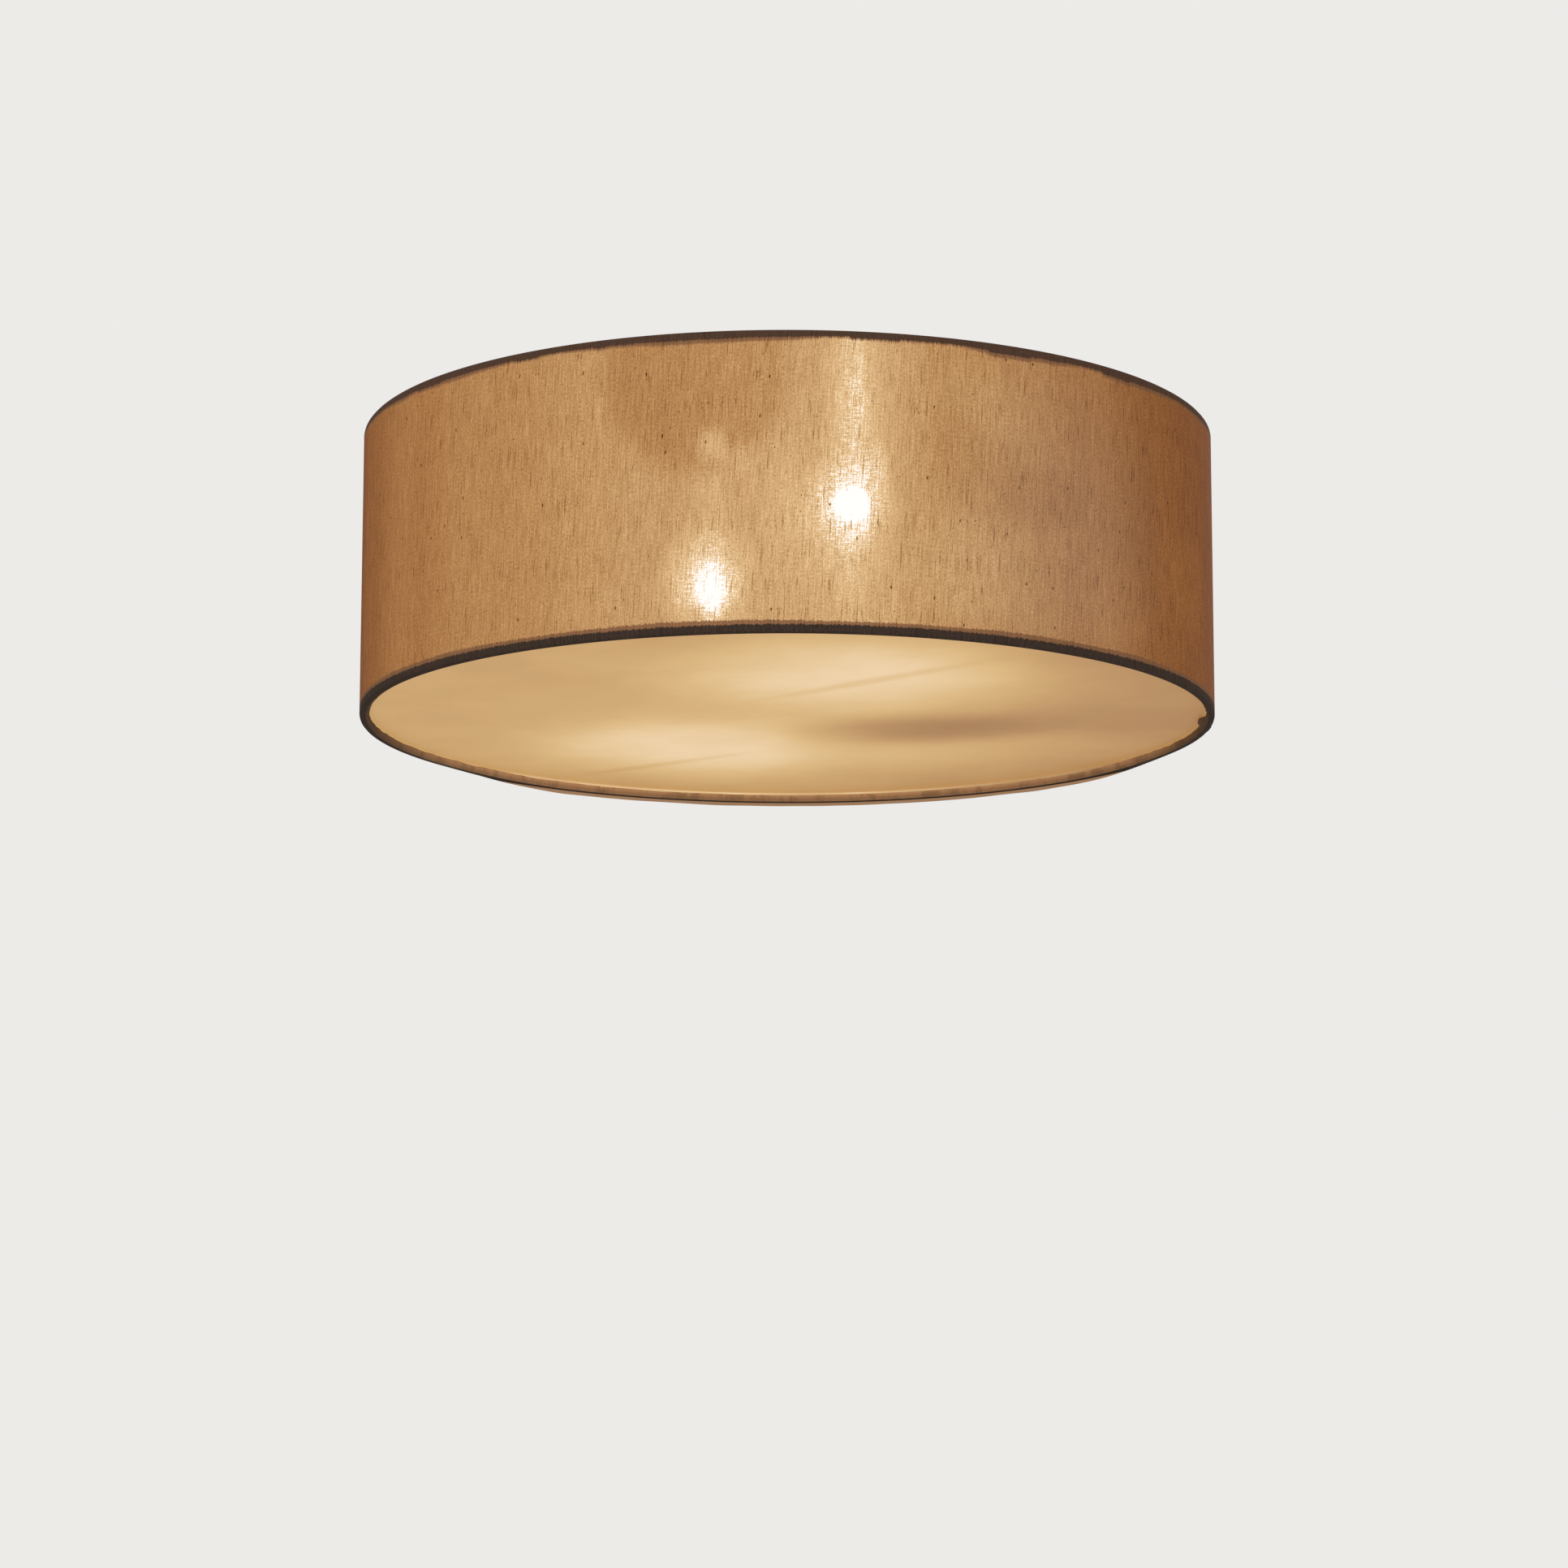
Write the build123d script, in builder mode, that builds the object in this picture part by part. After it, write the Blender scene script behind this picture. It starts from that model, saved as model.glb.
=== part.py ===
"""Flush mount ceiling light with a fabric drum shade, an opal diffuser and two lamps.

The ceiling is the plane Z = 0 and the light hangs below it, round the Z axis. The two lamps lie
on one level line through that axis, and point away from each other: "front" is on the -Y side.
"""

import os
from math import cos, radians, sin

from build123d import *

os.makedirs("parts", exist_ok=True)

# ---------------------------------------------------------------- driving dimensions, in mm

# Fits
face_gap = 0.3  # between pieces that move on each other
seat_gap = 0.05  # between round pieces that are glued, pressed or screwed together
hole_gap = 0.2  # round a screw or tube in its clearance hole

# Drum shade
shade_diameter = 400.0
shade_height = 135.0
fabric_thickness = 0.4
lining_thickness = 0.3
ring_wire = 2.4
hem_tuck = 0.5  # how far the fabric's turned-in edge passes the ring wire
rim_round = 0.9  # outside radius of the fabric where it turns over a ring
seam_angle = 3.0  # where the fabric's ends overlap, from +X
seam_arc = 2.6
seam_end = 3.0  # from each rim to the overlap's end

# Diffuser plate, loose on the bottom ring
diffuser_thickness = 2.0
diffuser_side_gap = 0.75
diffuser_edge = 0.5

# Ceiling canopy, its crossbar and the screws that join them
canopy_diameter = 120.0
canopy_depth = 28.0
canopy_wall = 1.0
canopy_corner = 5.0
bracket_width = 20.0
bracket_thickness = 2.0
bracket_bend = 3.0
slot_spacing = 70.0
slot_width = 4.6
slot_length = 14.0
supply_hole_diameter = 16.0
tab_drop = 14.0
tab_gap = 1.6  # between a tab and the canopy's wall
side_screw_drop = 9.0
side_screw_length = 8.0
m4_diameter = 4.0
m4_head_diameter = 7.2
m4_head_height = 2.4
m3_diameter = 3.0
m3_head_diameter = 5.4
m3_head_height = 2.0
head_round = 0.7
clamp_screw_length = 5.0
screw_slot_width = 0.8
screw_slot_depth = 1.0

# Threaded tube, its nuts and washers
tube_diameter = 10.0
tube_bore = 7.6
tube_overrun = 0.8  # past the outermost nut at each end
tube_chamfer = 0.5
nut_width = 14.0  # across flats
nut_height = 3.0
washer_diameter = 17.0
washer_thickness = 0.8
shade_nut_diameter = 18.0
shade_nut_height = 5.0
shade_nut_grooves = 24
groove_depth = 0.5

# Spider that carries the shade
hub_diameter = 44.0
hub_thickness = 1.2
arm_wire = 3.5
arm_angles = (83.0, 203.0, 323.0)
arm_start = 11.5  # from the axis to an arm's inner end
arm_bend = 3.5
arm_drop = 7.75  # from the top rim down to the arms' centre line
arm_end_inset = 0.8  # from the ring's centre line in to the arm's end
notch_gap = 0.3  # round an arm's end in the fabric's turned-in edge

# Lamp bracket: a strip bent to two ears, under the hub
lamp_angle = -70.0  # direction of the front lamp from +X
lamp_bracket_drop = 15.0  # from the hub down to the strip
lamp_axis_drop = 45.0  # from the hub down to the lamps' line
lamp_bracket_width = 24.0
lamp_bracket_thickness = 1.5
lamp_bracket_bend = 2.5
ear_spacing = 21.0  # over the outsides of the ears
ear_reach = 13.0  # from the lamps' line down to an ear's end
nipple_bore = 7.0
nipple_reach = 7.5  # into the lampholder
nipple_back = 5.0  # behind the ear's outside face

# Lampholders, measured out from the ear
holder_diameter = 38.0
holder_wall = 2.0
holder_length = 43.5
holder_cap_length = 13.5
mouth_round = 0.7
dome_radius = 7.0
boss_radius = 8.0
boss_length = 8.0
carrier_start = 10.5
carrier_end = 16.0
carrier_radius = 14.6
carrier_flange = 1.5
shell_thickness = 0.4
shell_length = 24.0
shell_gap = 0.45  # between the bulb's screw cap and the shell
shell_base_hole = 8.6  # radius
contact_thickness = 0.5
contact_width = 5.0
contact_rise = 0.6
contact_reach = 7.5
contact_bend = 2.8  # from the lamps' line to the strip's bends

# Bulbs, measured out from the centre contact's face
bulb_seat = 17.5  # from the ear to that face
bulb_length = 97.0
bulb_radius = 27.5
glass_thickness = 0.8
neck_radius = 12.0
neck_start = 25.0
neck_flare = 0.04  # slope of the glass where it leaves the screw cap
globe_join = 128.0  # where the neck's curve meets the globe, in degrees from the tip
cap_crest = 13.2
cap_root = 12.2
cap_pitch = 3.629
cap_turns = 4
cap_thread_start = 7.0
cap_length = 27.0
cap_thickness = 0.4
tip_radius = 4.6
tip_height = 1.6
tip_stem_radius = 2.0
tip_stem_length = 6.0
insulator_start = 1.9
insulator_top = 5.6
insulator_cone = 3.1
insulator_length = 5.1
stem_flare = 10.0
stem_slope = 1.5  # of the flare where it is sealed to the glass
stem_radius = 3.0
stem_length = 17.0
support_wire = 1.0
support_spacing = 5.0
capsule_start = 46.5
capsule_length = 30.0
capsule_radius = 5.5
capsule_wall = 0.9
capsule_round = 1.8
pinch_width = 8.0
pinch_thickness = 3.0
pinch_length = 6.0
filament_length = 12.0
filament_radius = 0.7
filament_lead = 0.25

# Terminal block inside the canopy
pole_pitch = 10.0
block_offset = 22.0  # from the lamp's axis
block_depth = 16.0
block_height = 15.0
block_corner = 1.0
pole_height = 8.5  # from the canopy's floor to the poles' bores
pole_size = 5.0
pole_length = 14.0
pole_bore = 3.2
clamp_inset = 4.5  # from the block's faces to the clamping screws
well_diameter = 4.4

# Internal wires, the earth tag and its screw
wire_diameter = 2.0
wire_bend = 4.0
wire_side = 1.5  # from the tube's axis, sideways
wire_rise = 1.6  # above and below the lamps' line, inside the nipples
wire_grip = 5.0  # into the terminal block
earth_x = 28.0
earth_y = -2.0
earth_lead = 6.0  # straight run of the earth wire out of the terminal block
earth_run = 6.0  # and into its tag
tag_radius = 4.0
tag_thickness = 0.8
barrel_radius = 1.7
barrel_length = 6.0

# ---------------------------------------------------------------- heights and radii from them

shade_radius = shade_diameter / 2
fabric_inside = shade_radius - fabric_thickness
lining_outside = fabric_inside - seat_gap
lining_inside = lining_outside - lining_thickness
ring_radius = lining_inside - seat_gap - ring_wire / 2
hem_inside = ring_radius - ring_wire / 2 - seat_gap - fabric_thickness
hem_height = fabric_thickness + seat_gap + ring_wire + hem_tuck

canopy_radius = canopy_diameter / 2
floor_z = -(canopy_depth - canopy_wall)
hub_top = -canopy_depth - washer_thickness - nut_height
hub_bottom = hub_top - hub_thickness
arm_z = hub_bottom - arm_wire / 2
rim_top = arm_z + arm_drop
rim_bottom = rim_top - shade_height
top_ring_z = rim_top - fabric_thickness - seat_gap - ring_wire / 2
bottom_ring_z = rim_bottom + fabric_thickness + seat_gap + ring_wire / 2
diffuser_z = rim_bottom + hem_height + face_gap

lamp_bracket_z = hub_bottom - lamp_bracket_drop
lamp_axis_z = hub_bottom - lamp_axis_drop
ear_face = ear_spacing / 2
tube_top = floor_z + nut_height + tube_overrun
tube_bottom = (
    lamp_bracket_z
    - lamp_bracket_thickness
    - washer_thickness
    - nut_height
    - tube_overrun
)
tube_radius = tube_diameter / 2
wire_radius = wire_diameter / 2
holder_radius = holder_diameter / 2
holder_inside = holder_radius - holder_wall
bracket_half = canopy_radius - canopy_wall - tab_gap
side_screw_tip = canopy_radius - side_screw_length
pole_z = floor_z + pole_height
block_top = floor_z + block_height
globe_centre = bulb_length - bulb_radius
lamp_angles = {"front": lamp_angle, "back": lamp_angle + 180}


def outward(angle):
    """Level unit vector at ANGLE degrees from +X."""
    return Vector(cos(radians(angle)), sin(radians(angle)), 0)


def upright(angle):
    """Vertical plane through the lamp's axis: local X runs outward, local Y up."""
    out = outward(angle)
    return Plane(origin=(0, 0, 0), x_dir=out, z_dir=(out.Y, -out.X, 0))


def across_lamp(angle, distance):
    """Plane square to a lamp's line, DISTANCE from the centre: local X sideways, Y up."""
    out = outward(angle)
    centre = out * distance + Vector(0, 0, lamp_axis_z)
    return Plane(origin=centre, x_dir=(-out.Y, out.X, 0), z_dir=out)


def along_lamp(angle, distance):
    """Level plane of a lamp's line: local X outward from DISTANCE, local Y sideways."""
    out = outward(angle)
    centre = out * distance + Vector(0, 0, lamp_axis_z)
    return Plane(origin=centre, x_dir=out, z_dir=(0, 0, 1))


def lamp_line(angle):
    return Axis((0, 0, lamp_axis_z), outward(angle))


def save(piece, name):
    """Labels one finished piece and writes its file."""
    piece.part.label = name
    export_step(piece.part, f"parts/{name}.step")


# ---------------------------------------------------------------- ceiling bracket

with BuildPart() as ceiling_bracket:
    with BuildSketch(Plane.XZ) as strip:
        with Locations((0, -tab_drop / 2)):
            Rectangle(2 * bracket_half, tab_drop)
        with Locations((0, -bracket_thickness - tab_drop / 2)):
            Rectangle(2 * (bracket_half - bracket_thickness), tab_drop, mode=Mode.SUBTRACT)
        outer_corners = strip.vertices().group_by(Axis.Y)[-1]
        fillet(outer_corners, bracket_bend)
    extrude(amount=bracket_width / 2, both=True)
    with BuildSketch(Plane.XY) as slots:
        Circle(supply_hole_diameter / 2)
        with GridLocations(slot_spacing, 0, 2, 1):
            SlotOverall(slot_length, slot_width)
    extrude(amount=-bracket_thickness, mode=Mode.SUBTRACT)
    with BuildSketch(Plane.YZ) as tapped_holes:
        with Locations((0, -side_screw_drop)):
            Circle(m4_diameter / 2 + seat_gap)
    extrude(amount=bracket_half, both=True, mode=Mode.SUBTRACT)
save(ceiling_bracket, "ceiling_bracket")

# ---------------------------------------------------------------- canopy and its side screws

with BuildPart() as canopy:
    with BuildSketch(Plane.XY.offset(-canopy_depth)):
        Circle(canopy_radius)
    extrude(amount=canopy_depth)
    fillet(canopy.edges().group_by(Axis.Z)[0], canopy_corner)
    offset(amount=-canopy_wall, openings=canopy.faces().sort_by(Axis.Z)[-1])
    with BuildSketch(Plane.XY.offset(-canopy_depth)) as floor_holes:
        Circle(tube_radius + hole_gap)
        with Locations((earth_x, earth_y)):
            Circle(m4_diameter / 2 + seat_gap)
        with Locations((0, block_offset + block_depth / 2)):
            with GridLocations(pole_pitch, 0, 2, 1):
                Circle(m3_diameter / 2 + seat_gap)
    extrude(amount=canopy_wall, mode=Mode.SUBTRACT)
    with BuildSketch(Plane.YZ) as side_holes:
        with Locations((0, -side_screw_drop)):
            Circle(m4_diameter / 2 + hole_gap)
    extrude(amount=canopy_radius, both=True, mode=Mode.SUBTRACT)
save(canopy, "canopy")

with BuildPart() as canopy_screws:
    with BuildSketch(Plane.YZ.offset(side_screw_tip)) as shank:
        with Locations((0, -side_screw_drop)):
            Circle(m4_diameter / 2)
    extrude(amount=side_screw_length)
    with BuildSketch(Plane.YZ.offset(canopy_radius)) as head:
        with Locations((0, -side_screw_drop)):
            Circle(m4_head_diameter / 2)
    extrude(amount=m4_head_height)
    fillet(canopy_screws.edges().group_by(Axis.X)[-1], head_round)
    head_face = Plane.YZ.offset(canopy_radius + m4_head_height)
    with BuildSketch(head_face) as head_slot:
        with Locations((0, -side_screw_drop)):
            Rectangle(m4_head_diameter, screw_slot_width)
    extrude(amount=-screw_slot_depth, mode=Mode.SUBTRACT)
    mirror(about=Plane.YZ)
save(canopy_screws, "canopy_screws")

# ---------------------------------------------------------------- terminal block

clamp_spacing = block_depth - 2 * clamp_inset

with BuildPart() as terminal_body:
    with BuildSketch(Plane.XY.offset(floor_z)):
        with Locations((0, block_offset + block_depth / 2)):
            Rectangle(3 * pole_pitch, block_depth)
    extrude(amount=block_height)
    fillet(terminal_body.edges().filter_by(Axis.Z), block_corner)
    with BuildSketch(Plane.XZ.offset(-block_offset)) as pole_channels:
        with Locations((0, pole_z)):
            with GridLocations(pole_pitch, 0, 3, 1):
                Rectangle(pole_size + 2 * seat_gap, pole_size + 2 * seat_gap)
    extrude(amount=-block_depth, mode=Mode.SUBTRACT)
    with BuildSketch(Plane.XY.offset(block_top)) as wells:
        with Locations((0, block_offset + block_depth / 2)):
            with GridLocations(pole_pitch, clamp_spacing, 3, 2):
                Circle(well_diameter / 2)
    extrude(amount=-(block_top - pole_z), mode=Mode.SUBTRACT)
    with BuildSketch(Plane.XY.offset(floor_z)) as fixing_holes:
        with Locations((0, block_offset + block_depth / 2)):
            with GridLocations(pole_pitch, 0, 2, 1):
                Circle(m3_diameter / 2 + hole_gap)
    extrude(amount=block_height, mode=Mode.SUBTRACT)
save(terminal_body, "terminal_body")

with BuildPart() as terminal_inserts:
    insert_start = block_offset + (block_depth - pole_length) / 2
    with BuildSketch(Plane.XZ.offset(-insert_start)) as insert_section:
        with Locations((0, pole_z)):
            with GridLocations(pole_pitch, 0, 3, 1):
                Rectangle(pole_size, pole_size)
                Circle(pole_bore / 2, mode=Mode.SUBTRACT)
    extrude(amount=-pole_length)
    with BuildSketch(Plane.XY.offset(pole_z)) as clamp_holes:
        with Locations((0, block_offset + block_depth / 2)):
            with GridLocations(pole_pitch, clamp_spacing, 3, 2):
                Circle(m3_diameter / 2)
    extrude(amount=pole_size / 2, mode=Mode.SUBTRACT)
save(terminal_inserts, "terminal_inserts")

with BuildPart() as terminal_screws:
    clamp_z = pole_z + wire_radius + seat_gap
    with BuildSketch(Plane.XY.offset(clamp_z)) as clamp_shanks:
        with Locations((0, block_offset + block_depth / 2)):
            with GridLocations(pole_pitch, clamp_spacing, 3, 2):
                Circle(m3_diameter / 2 - seat_gap)
    extrude(amount=clamp_screw_length)
    with BuildSketch(Plane.XY.offset(clamp_z + clamp_screw_length)) as clamp_slots:
        with Locations((0, block_offset + block_depth / 2)):
            with GridLocations(pole_pitch, clamp_spacing, 3, 2):
                Rectangle(m3_diameter, screw_slot_width)
    extrude(amount=-screw_slot_depth, mode=Mode.SUBTRACT)
save(terminal_screws, "terminal_screws")

with BuildPart() as terminal_fixing_screws:
    with BuildSketch(Plane.XY.offset(-canopy_depth)) as fixing_shanks:
        with Locations((0, block_offset + block_depth / 2)):
            with GridLocations(pole_pitch, 0, 2, 1):
                Circle(m3_diameter / 2)
    extrude(amount=canopy_wall + block_height)
    with BuildSketch(Plane.XY.offset(block_top)) as fixing_heads:
        with Locations((0, block_offset + block_depth / 2)):
            with GridLocations(pole_pitch, 0, 2, 1):
                Circle(m3_head_diameter / 2)
    extrude(amount=m3_head_height)
    fillet(terminal_fixing_screws.edges().group_by(Axis.Z)[-1], head_round)
    with BuildSketch(Plane.XY.offset(block_top + m3_head_height)) as fixing_slots:
        with Locations((0, block_offset + block_depth / 2)):
            with GridLocations(pole_pitch, 0, 2, 1):
                Rectangle(m3_head_diameter, screw_slot_width)
    extrude(amount=-screw_slot_depth, mode=Mode.SUBTRACT)
save(terminal_fixing_screws, "terminal_fixing_screws")

# ---------------------------------------------------------------- internal wires


def wire_along(points):
    """One insulated wire through POINTS, with an arc at each corner."""
    with BuildPart() as wire:
        with BuildLine() as route:
            FilletPolyline(*points, radius=wire_bend)
        with BuildSketch(Plane(origin=route.line @ 0, z_dir=route.line % 0)):
            Circle(wire_radius)
        sweep()
    return wire


front_out = outward(lamp_angle)
front_side = Vector(-front_out.Y, front_out.X, 0)
wire_end = ear_face + carrier_start - seat_gap
grip_y = block_offset + wire_grip
lead_y = block_offset - wire_bend
earth_lead_y = block_offset - earth_lead

for name, pole_x, side in (("wire_live", -pole_pitch, -1), ("wire_neutral", 0, 1)):
    in_tube = front_side * (side * wire_side)
    turn_z = lamp_axis_z + wire_rise
    corners = [
        (pole_x, grip_y, pole_z),
        (pole_x, lead_y, pole_z),
        in_tube + Vector(0, 0, pole_z),
        in_tube + Vector(0, 0, turn_z),
        in_tube + front_out * wire_end + Vector(0, 0, turn_z),
    ]
    save(wire_along(corners), name)

for name, side in (("link_live", -1), ("link_neutral", 1)):
    with BuildPart() as link:
        with BuildSketch(across_lamp(lamp_angle, 0)) as link_section:
            with Locations((side * wire_side, -wire_rise)):
                Circle(wire_radius)
        extrude(amount=wire_end, both=True)
    save(link, name)

tag_end = earth_y + tag_radius + barrel_length
earth_wire_z = floor_z + barrel_radius
earth_corners = [
    (pole_pitch, grip_y, pole_z),
    (pole_pitch, earth_lead_y, pole_z),
    (earth_x, tag_end + earth_run, earth_wire_z),
    (earth_x, tag_end - barrel_length / 2, earth_wire_z),
]
save(wire_along(earth_corners), "wire_earth")

with BuildPart() as earth_tag:
    with BuildSketch(Plane.XY.offset(floor_z)) as tag_outline:
        with Locations((earth_x, earth_y)):
            Circle(tag_radius)
        with Locations((earth_x, (earth_y + tag_end) / 2)):
            Rectangle(2 * barrel_radius, tag_end - earth_y)
        with Locations((earth_x, earth_y)):
            Circle(m4_diameter / 2 + hole_gap, mode=Mode.SUBTRACT)
    extrude(amount=tag_thickness)
    with BuildSketch(Plane.XZ.offset(-tag_end)) as barrel_outside:
        with Locations((earth_x, earth_wire_z)):
            Circle(barrel_radius)
    extrude(amount=barrel_length)
    with BuildSketch(Plane.XZ.offset(-tag_end)) as barrel_bore:
        with Locations((earth_x, earth_wire_z)):
            Circle(wire_radius + seat_gap)
    extrude(amount=barrel_length, mode=Mode.SUBTRACT)
save(earth_tag, "earth_tag")

with BuildPart() as earth_screw:
    with BuildSketch(Plane.XY.offset(-canopy_depth)) as earth_shank:
        with Locations((earth_x, earth_y)):
            Circle(m4_diameter / 2)
    extrude(amount=canopy_wall + tag_thickness)
    head_z = floor_z + tag_thickness
    with BuildSketch(Plane.XY.offset(head_z)) as earth_head:
        with Locations((earth_x, earth_y)):
            Circle(m4_head_diameter / 2)
    extrude(amount=m4_head_height)
    fillet(earth_screw.edges().group_by(Axis.Z)[-1], head_round)
    with BuildSketch(Plane.XY.offset(head_z + m4_head_height)) as earth_slot:
        with Locations((earth_x, earth_y)):
            Rectangle(m4_head_diameter, screw_slot_width)
    extrude(amount=-screw_slot_depth, mode=Mode.SUBTRACT)
save(earth_screw, "earth_screw")

# ---------------------------------------------------------------- threaded tube and its nuts

with BuildPart() as threaded_tube:
    with BuildSketch(Plane.XY.offset(tube_bottom)):
        Circle(tube_radius)
        Circle(tube_bore / 2, mode=Mode.SUBTRACT)
    extrude(amount=tube_top - tube_bottom)
    outer_ends = threaded_tube.edges().filter_by(GeomType.CIRCLE).sort_by(SortBy.RADIUS)[-2:]
    chamfer(outer_ends, tube_chamfer)
save(threaded_tube, "threaded_tube")

upper_washer_z = -canopy_depth - washer_thickness
lower_washer_z = lamp_bracket_z - lamp_bracket_thickness - washer_thickness
nut_seats = (floor_z, hub_top, lamp_bracket_z, lower_washer_z - nut_height)

with BuildPart() as tube_nuts:
    for seat in nut_seats:
        with BuildSketch(Plane.XY.offset(seat)) as hexagon:
            RegularPolygon(nut_width / 2, 6, major_radius=False)
            Circle(tube_radius + seat_gap, mode=Mode.SUBTRACT)
        extrude(amount=nut_height)
save(tube_nuts, "tube_nuts")

with BuildPart() as tube_washers:
    for seat in (upper_washer_z, lower_washer_z):
        with BuildSketch(Plane.XY.offset(seat)) as washer_ring:
            Circle(washer_diameter / 2)
            Circle(tube_radius + hole_gap, mode=Mode.SUBTRACT)
        extrude(amount=washer_thickness)
save(tube_washers, "tube_washers")

with BuildPart() as shade_nut:
    with BuildSketch(Plane.XY.offset(hub_bottom - shade_nut_height)) as knurled_ring:
        Circle(shade_nut_diameter / 2)
        with PolarLocations(shade_nut_diameter / 2, shade_nut_grooves):
            Circle(groove_depth, mode=Mode.SUBTRACT)
        Circle(tube_radius + seat_gap, mode=Mode.SUBTRACT)
    extrude(amount=shade_nut_height)
save(shade_nut, "shade_nut")

# ---------------------------------------------------------------- spider

with BuildPart() as spider_hub:
    with BuildSketch(Plane.XY.offset(hub_bottom)):
        Circle(hub_diameter / 2)
        Circle(tube_radius + hole_gap, mode=Mode.SUBTRACT)
    extrude(amount=hub_thickness)
save(spider_hub, "spider_hub")

arm_end_radius = ring_radius - arm_end_inset
arm_end_z = top_ring_z - ring_wire / 2 - seat_gap

with BuildPart() as spider_arms:
    for angle in arm_angles:
        with BuildLine(upright(angle)) as arm_route:
            FilletPolyline(
                (arm_start, arm_z),
                (arm_end_radius, arm_z),
                (arm_end_radius, arm_end_z),
                radius=arm_bend,
            )
        with BuildSketch(Plane(origin=arm_route.line @ 0, z_dir=arm_route.line % 0)):
            Circle(arm_wire / 2)
        sweep()
save(spider_arms, "spider_arms")

# ---------------------------------------------------------------- shade

for name, ring_z in (("top_ring", top_ring_z), ("bottom_ring", bottom_ring_z)):
    with BuildPart() as ring:
        with BuildSketch(Plane.XZ) as wire_section:
            with Locations((ring_radius, ring_z)):
                Circle(ring_wire / 2)
        revolve(axis=Axis.Z)
    save(ring, name)

with BuildPart() as shade_lining:
    with BuildSketch(Plane.XY.offset(rim_bottom + fabric_thickness + rim_round)):
        Circle(lining_outside)
        Circle(lining_inside, mode=Mode.SUBTRACT)
    extrude(amount=shade_height - 2 * (fabric_thickness + rim_round))
save(shade_lining, "shade_lining")

with BuildPart() as shade_fabric:
    with BuildSketch(Plane.XZ) as fabric_section:
        with Locations(((hem_inside + shade_radius) / 2, (rim_top + rim_bottom) / 2)):
            RectangleRounded(shade_radius - hem_inside, shade_height, rim_round)
            RectangleRounded(
                shade_radius - hem_inside - 2 * fabric_thickness,
                shade_height - 2 * fabric_thickness,
                rim_round - fabric_thickness,
                mode=Mode.SUBTRACT,
            )
        with Locations((hem_inside, (rim_top + rim_bottom) / 2)):
            Rectangle(ring_wire, shade_height - 2 * hem_height, mode=Mode.SUBTRACT)
    revolve(axis=Axis.Z)
    with BuildSketch(Plane.XY.offset(top_ring_z)) as arm_notches:
        for angle in arm_angles:
            with Locations(outward(angle) * arm_end_radius):
                Circle(arm_wire / 2 + notch_gap)
    extrude(amount=-(hem_height + arm_wire), mode=Mode.SUBTRACT)
    with BuildSketch(upright(seam_angle)) as overlap:
        with Locations((shade_radius, (rim_top + rim_bottom) / 2)):
            Rectangle(fabric_thickness, shade_height - 2 * seam_end)
    revolve(axis=Axis.Z, revolution_arc=seam_arc)
save(shade_fabric, "shade_fabric")

with BuildPart() as diffuser:
    with BuildSketch(Plane.XY.offset(diffuser_z)):
        Circle(lining_inside - diffuser_side_gap)
    extrude(amount=diffuser_thickness)
    fillet(diffuser.edges(), diffuser_edge)
save(diffuser, "diffuser")

# ---------------------------------------------------------------- lamp bracket

with BuildPart() as lamp_bracket:
    ear_end = lamp_axis_z - ear_reach
    strip_height = lamp_bracket_z - ear_end
    with BuildSketch(upright(lamp_angle)) as bent_strip:
        with Locations((0, (lamp_bracket_z + ear_end) / 2)):
            Rectangle(ear_spacing, strip_height)
        fillet(bent_strip.vertices().group_by(Axis.Y)[-1], lamp_bracket_bend)
        inside_height = strip_height - lamp_bracket_thickness
        with Locations((0, ear_end + inside_height / 2)):
            Rectangle(
                ear_spacing - 2 * lamp_bracket_thickness, inside_height, mode=Mode.SUBTRACT
            )
    extrude(amount=lamp_bracket_width / 2, both=True)
    with BuildSketch(Plane.XY.offset(lamp_bracket_z)):
        Circle(tube_radius + hole_gap)
    extrude(amount=-lamp_bracket_thickness, mode=Mode.SUBTRACT)
    with BuildSketch(across_lamp(lamp_angle, 0)):
        Circle(tube_radius + hole_gap)
    extrude(amount=ear_face, both=True, mode=Mode.SUBTRACT)
save(lamp_bracket, "lamp_bracket")

with BuildPart() as holder_nipples:
    for angle in lamp_angles.values():
        with BuildSketch(across_lamp(angle, ear_face - nipple_back)):
            Circle(tube_radius)
            Circle(nipple_bore / 2, mode=Mode.SUBTRACT)
        extrude(amount=nipple_back + nipple_reach)
save(holder_nipples, "holder_nipples")

with BuildPart() as holder_nuts:
    for angle in lamp_angles.values():
        nut_distance = ear_face - lamp_bracket_thickness - nut_height
        with BuildSketch(across_lamp(angle, nut_distance)):
            RegularPolygon(nut_width / 2, 6, major_radius=False)
            Circle(tube_radius + seat_gap, mode=Mode.SUBTRACT)
        extrude(amount=nut_height)
save(holder_nuts, "holder_nuts")

# ---------------------------------------------------------------- lampholders


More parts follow.
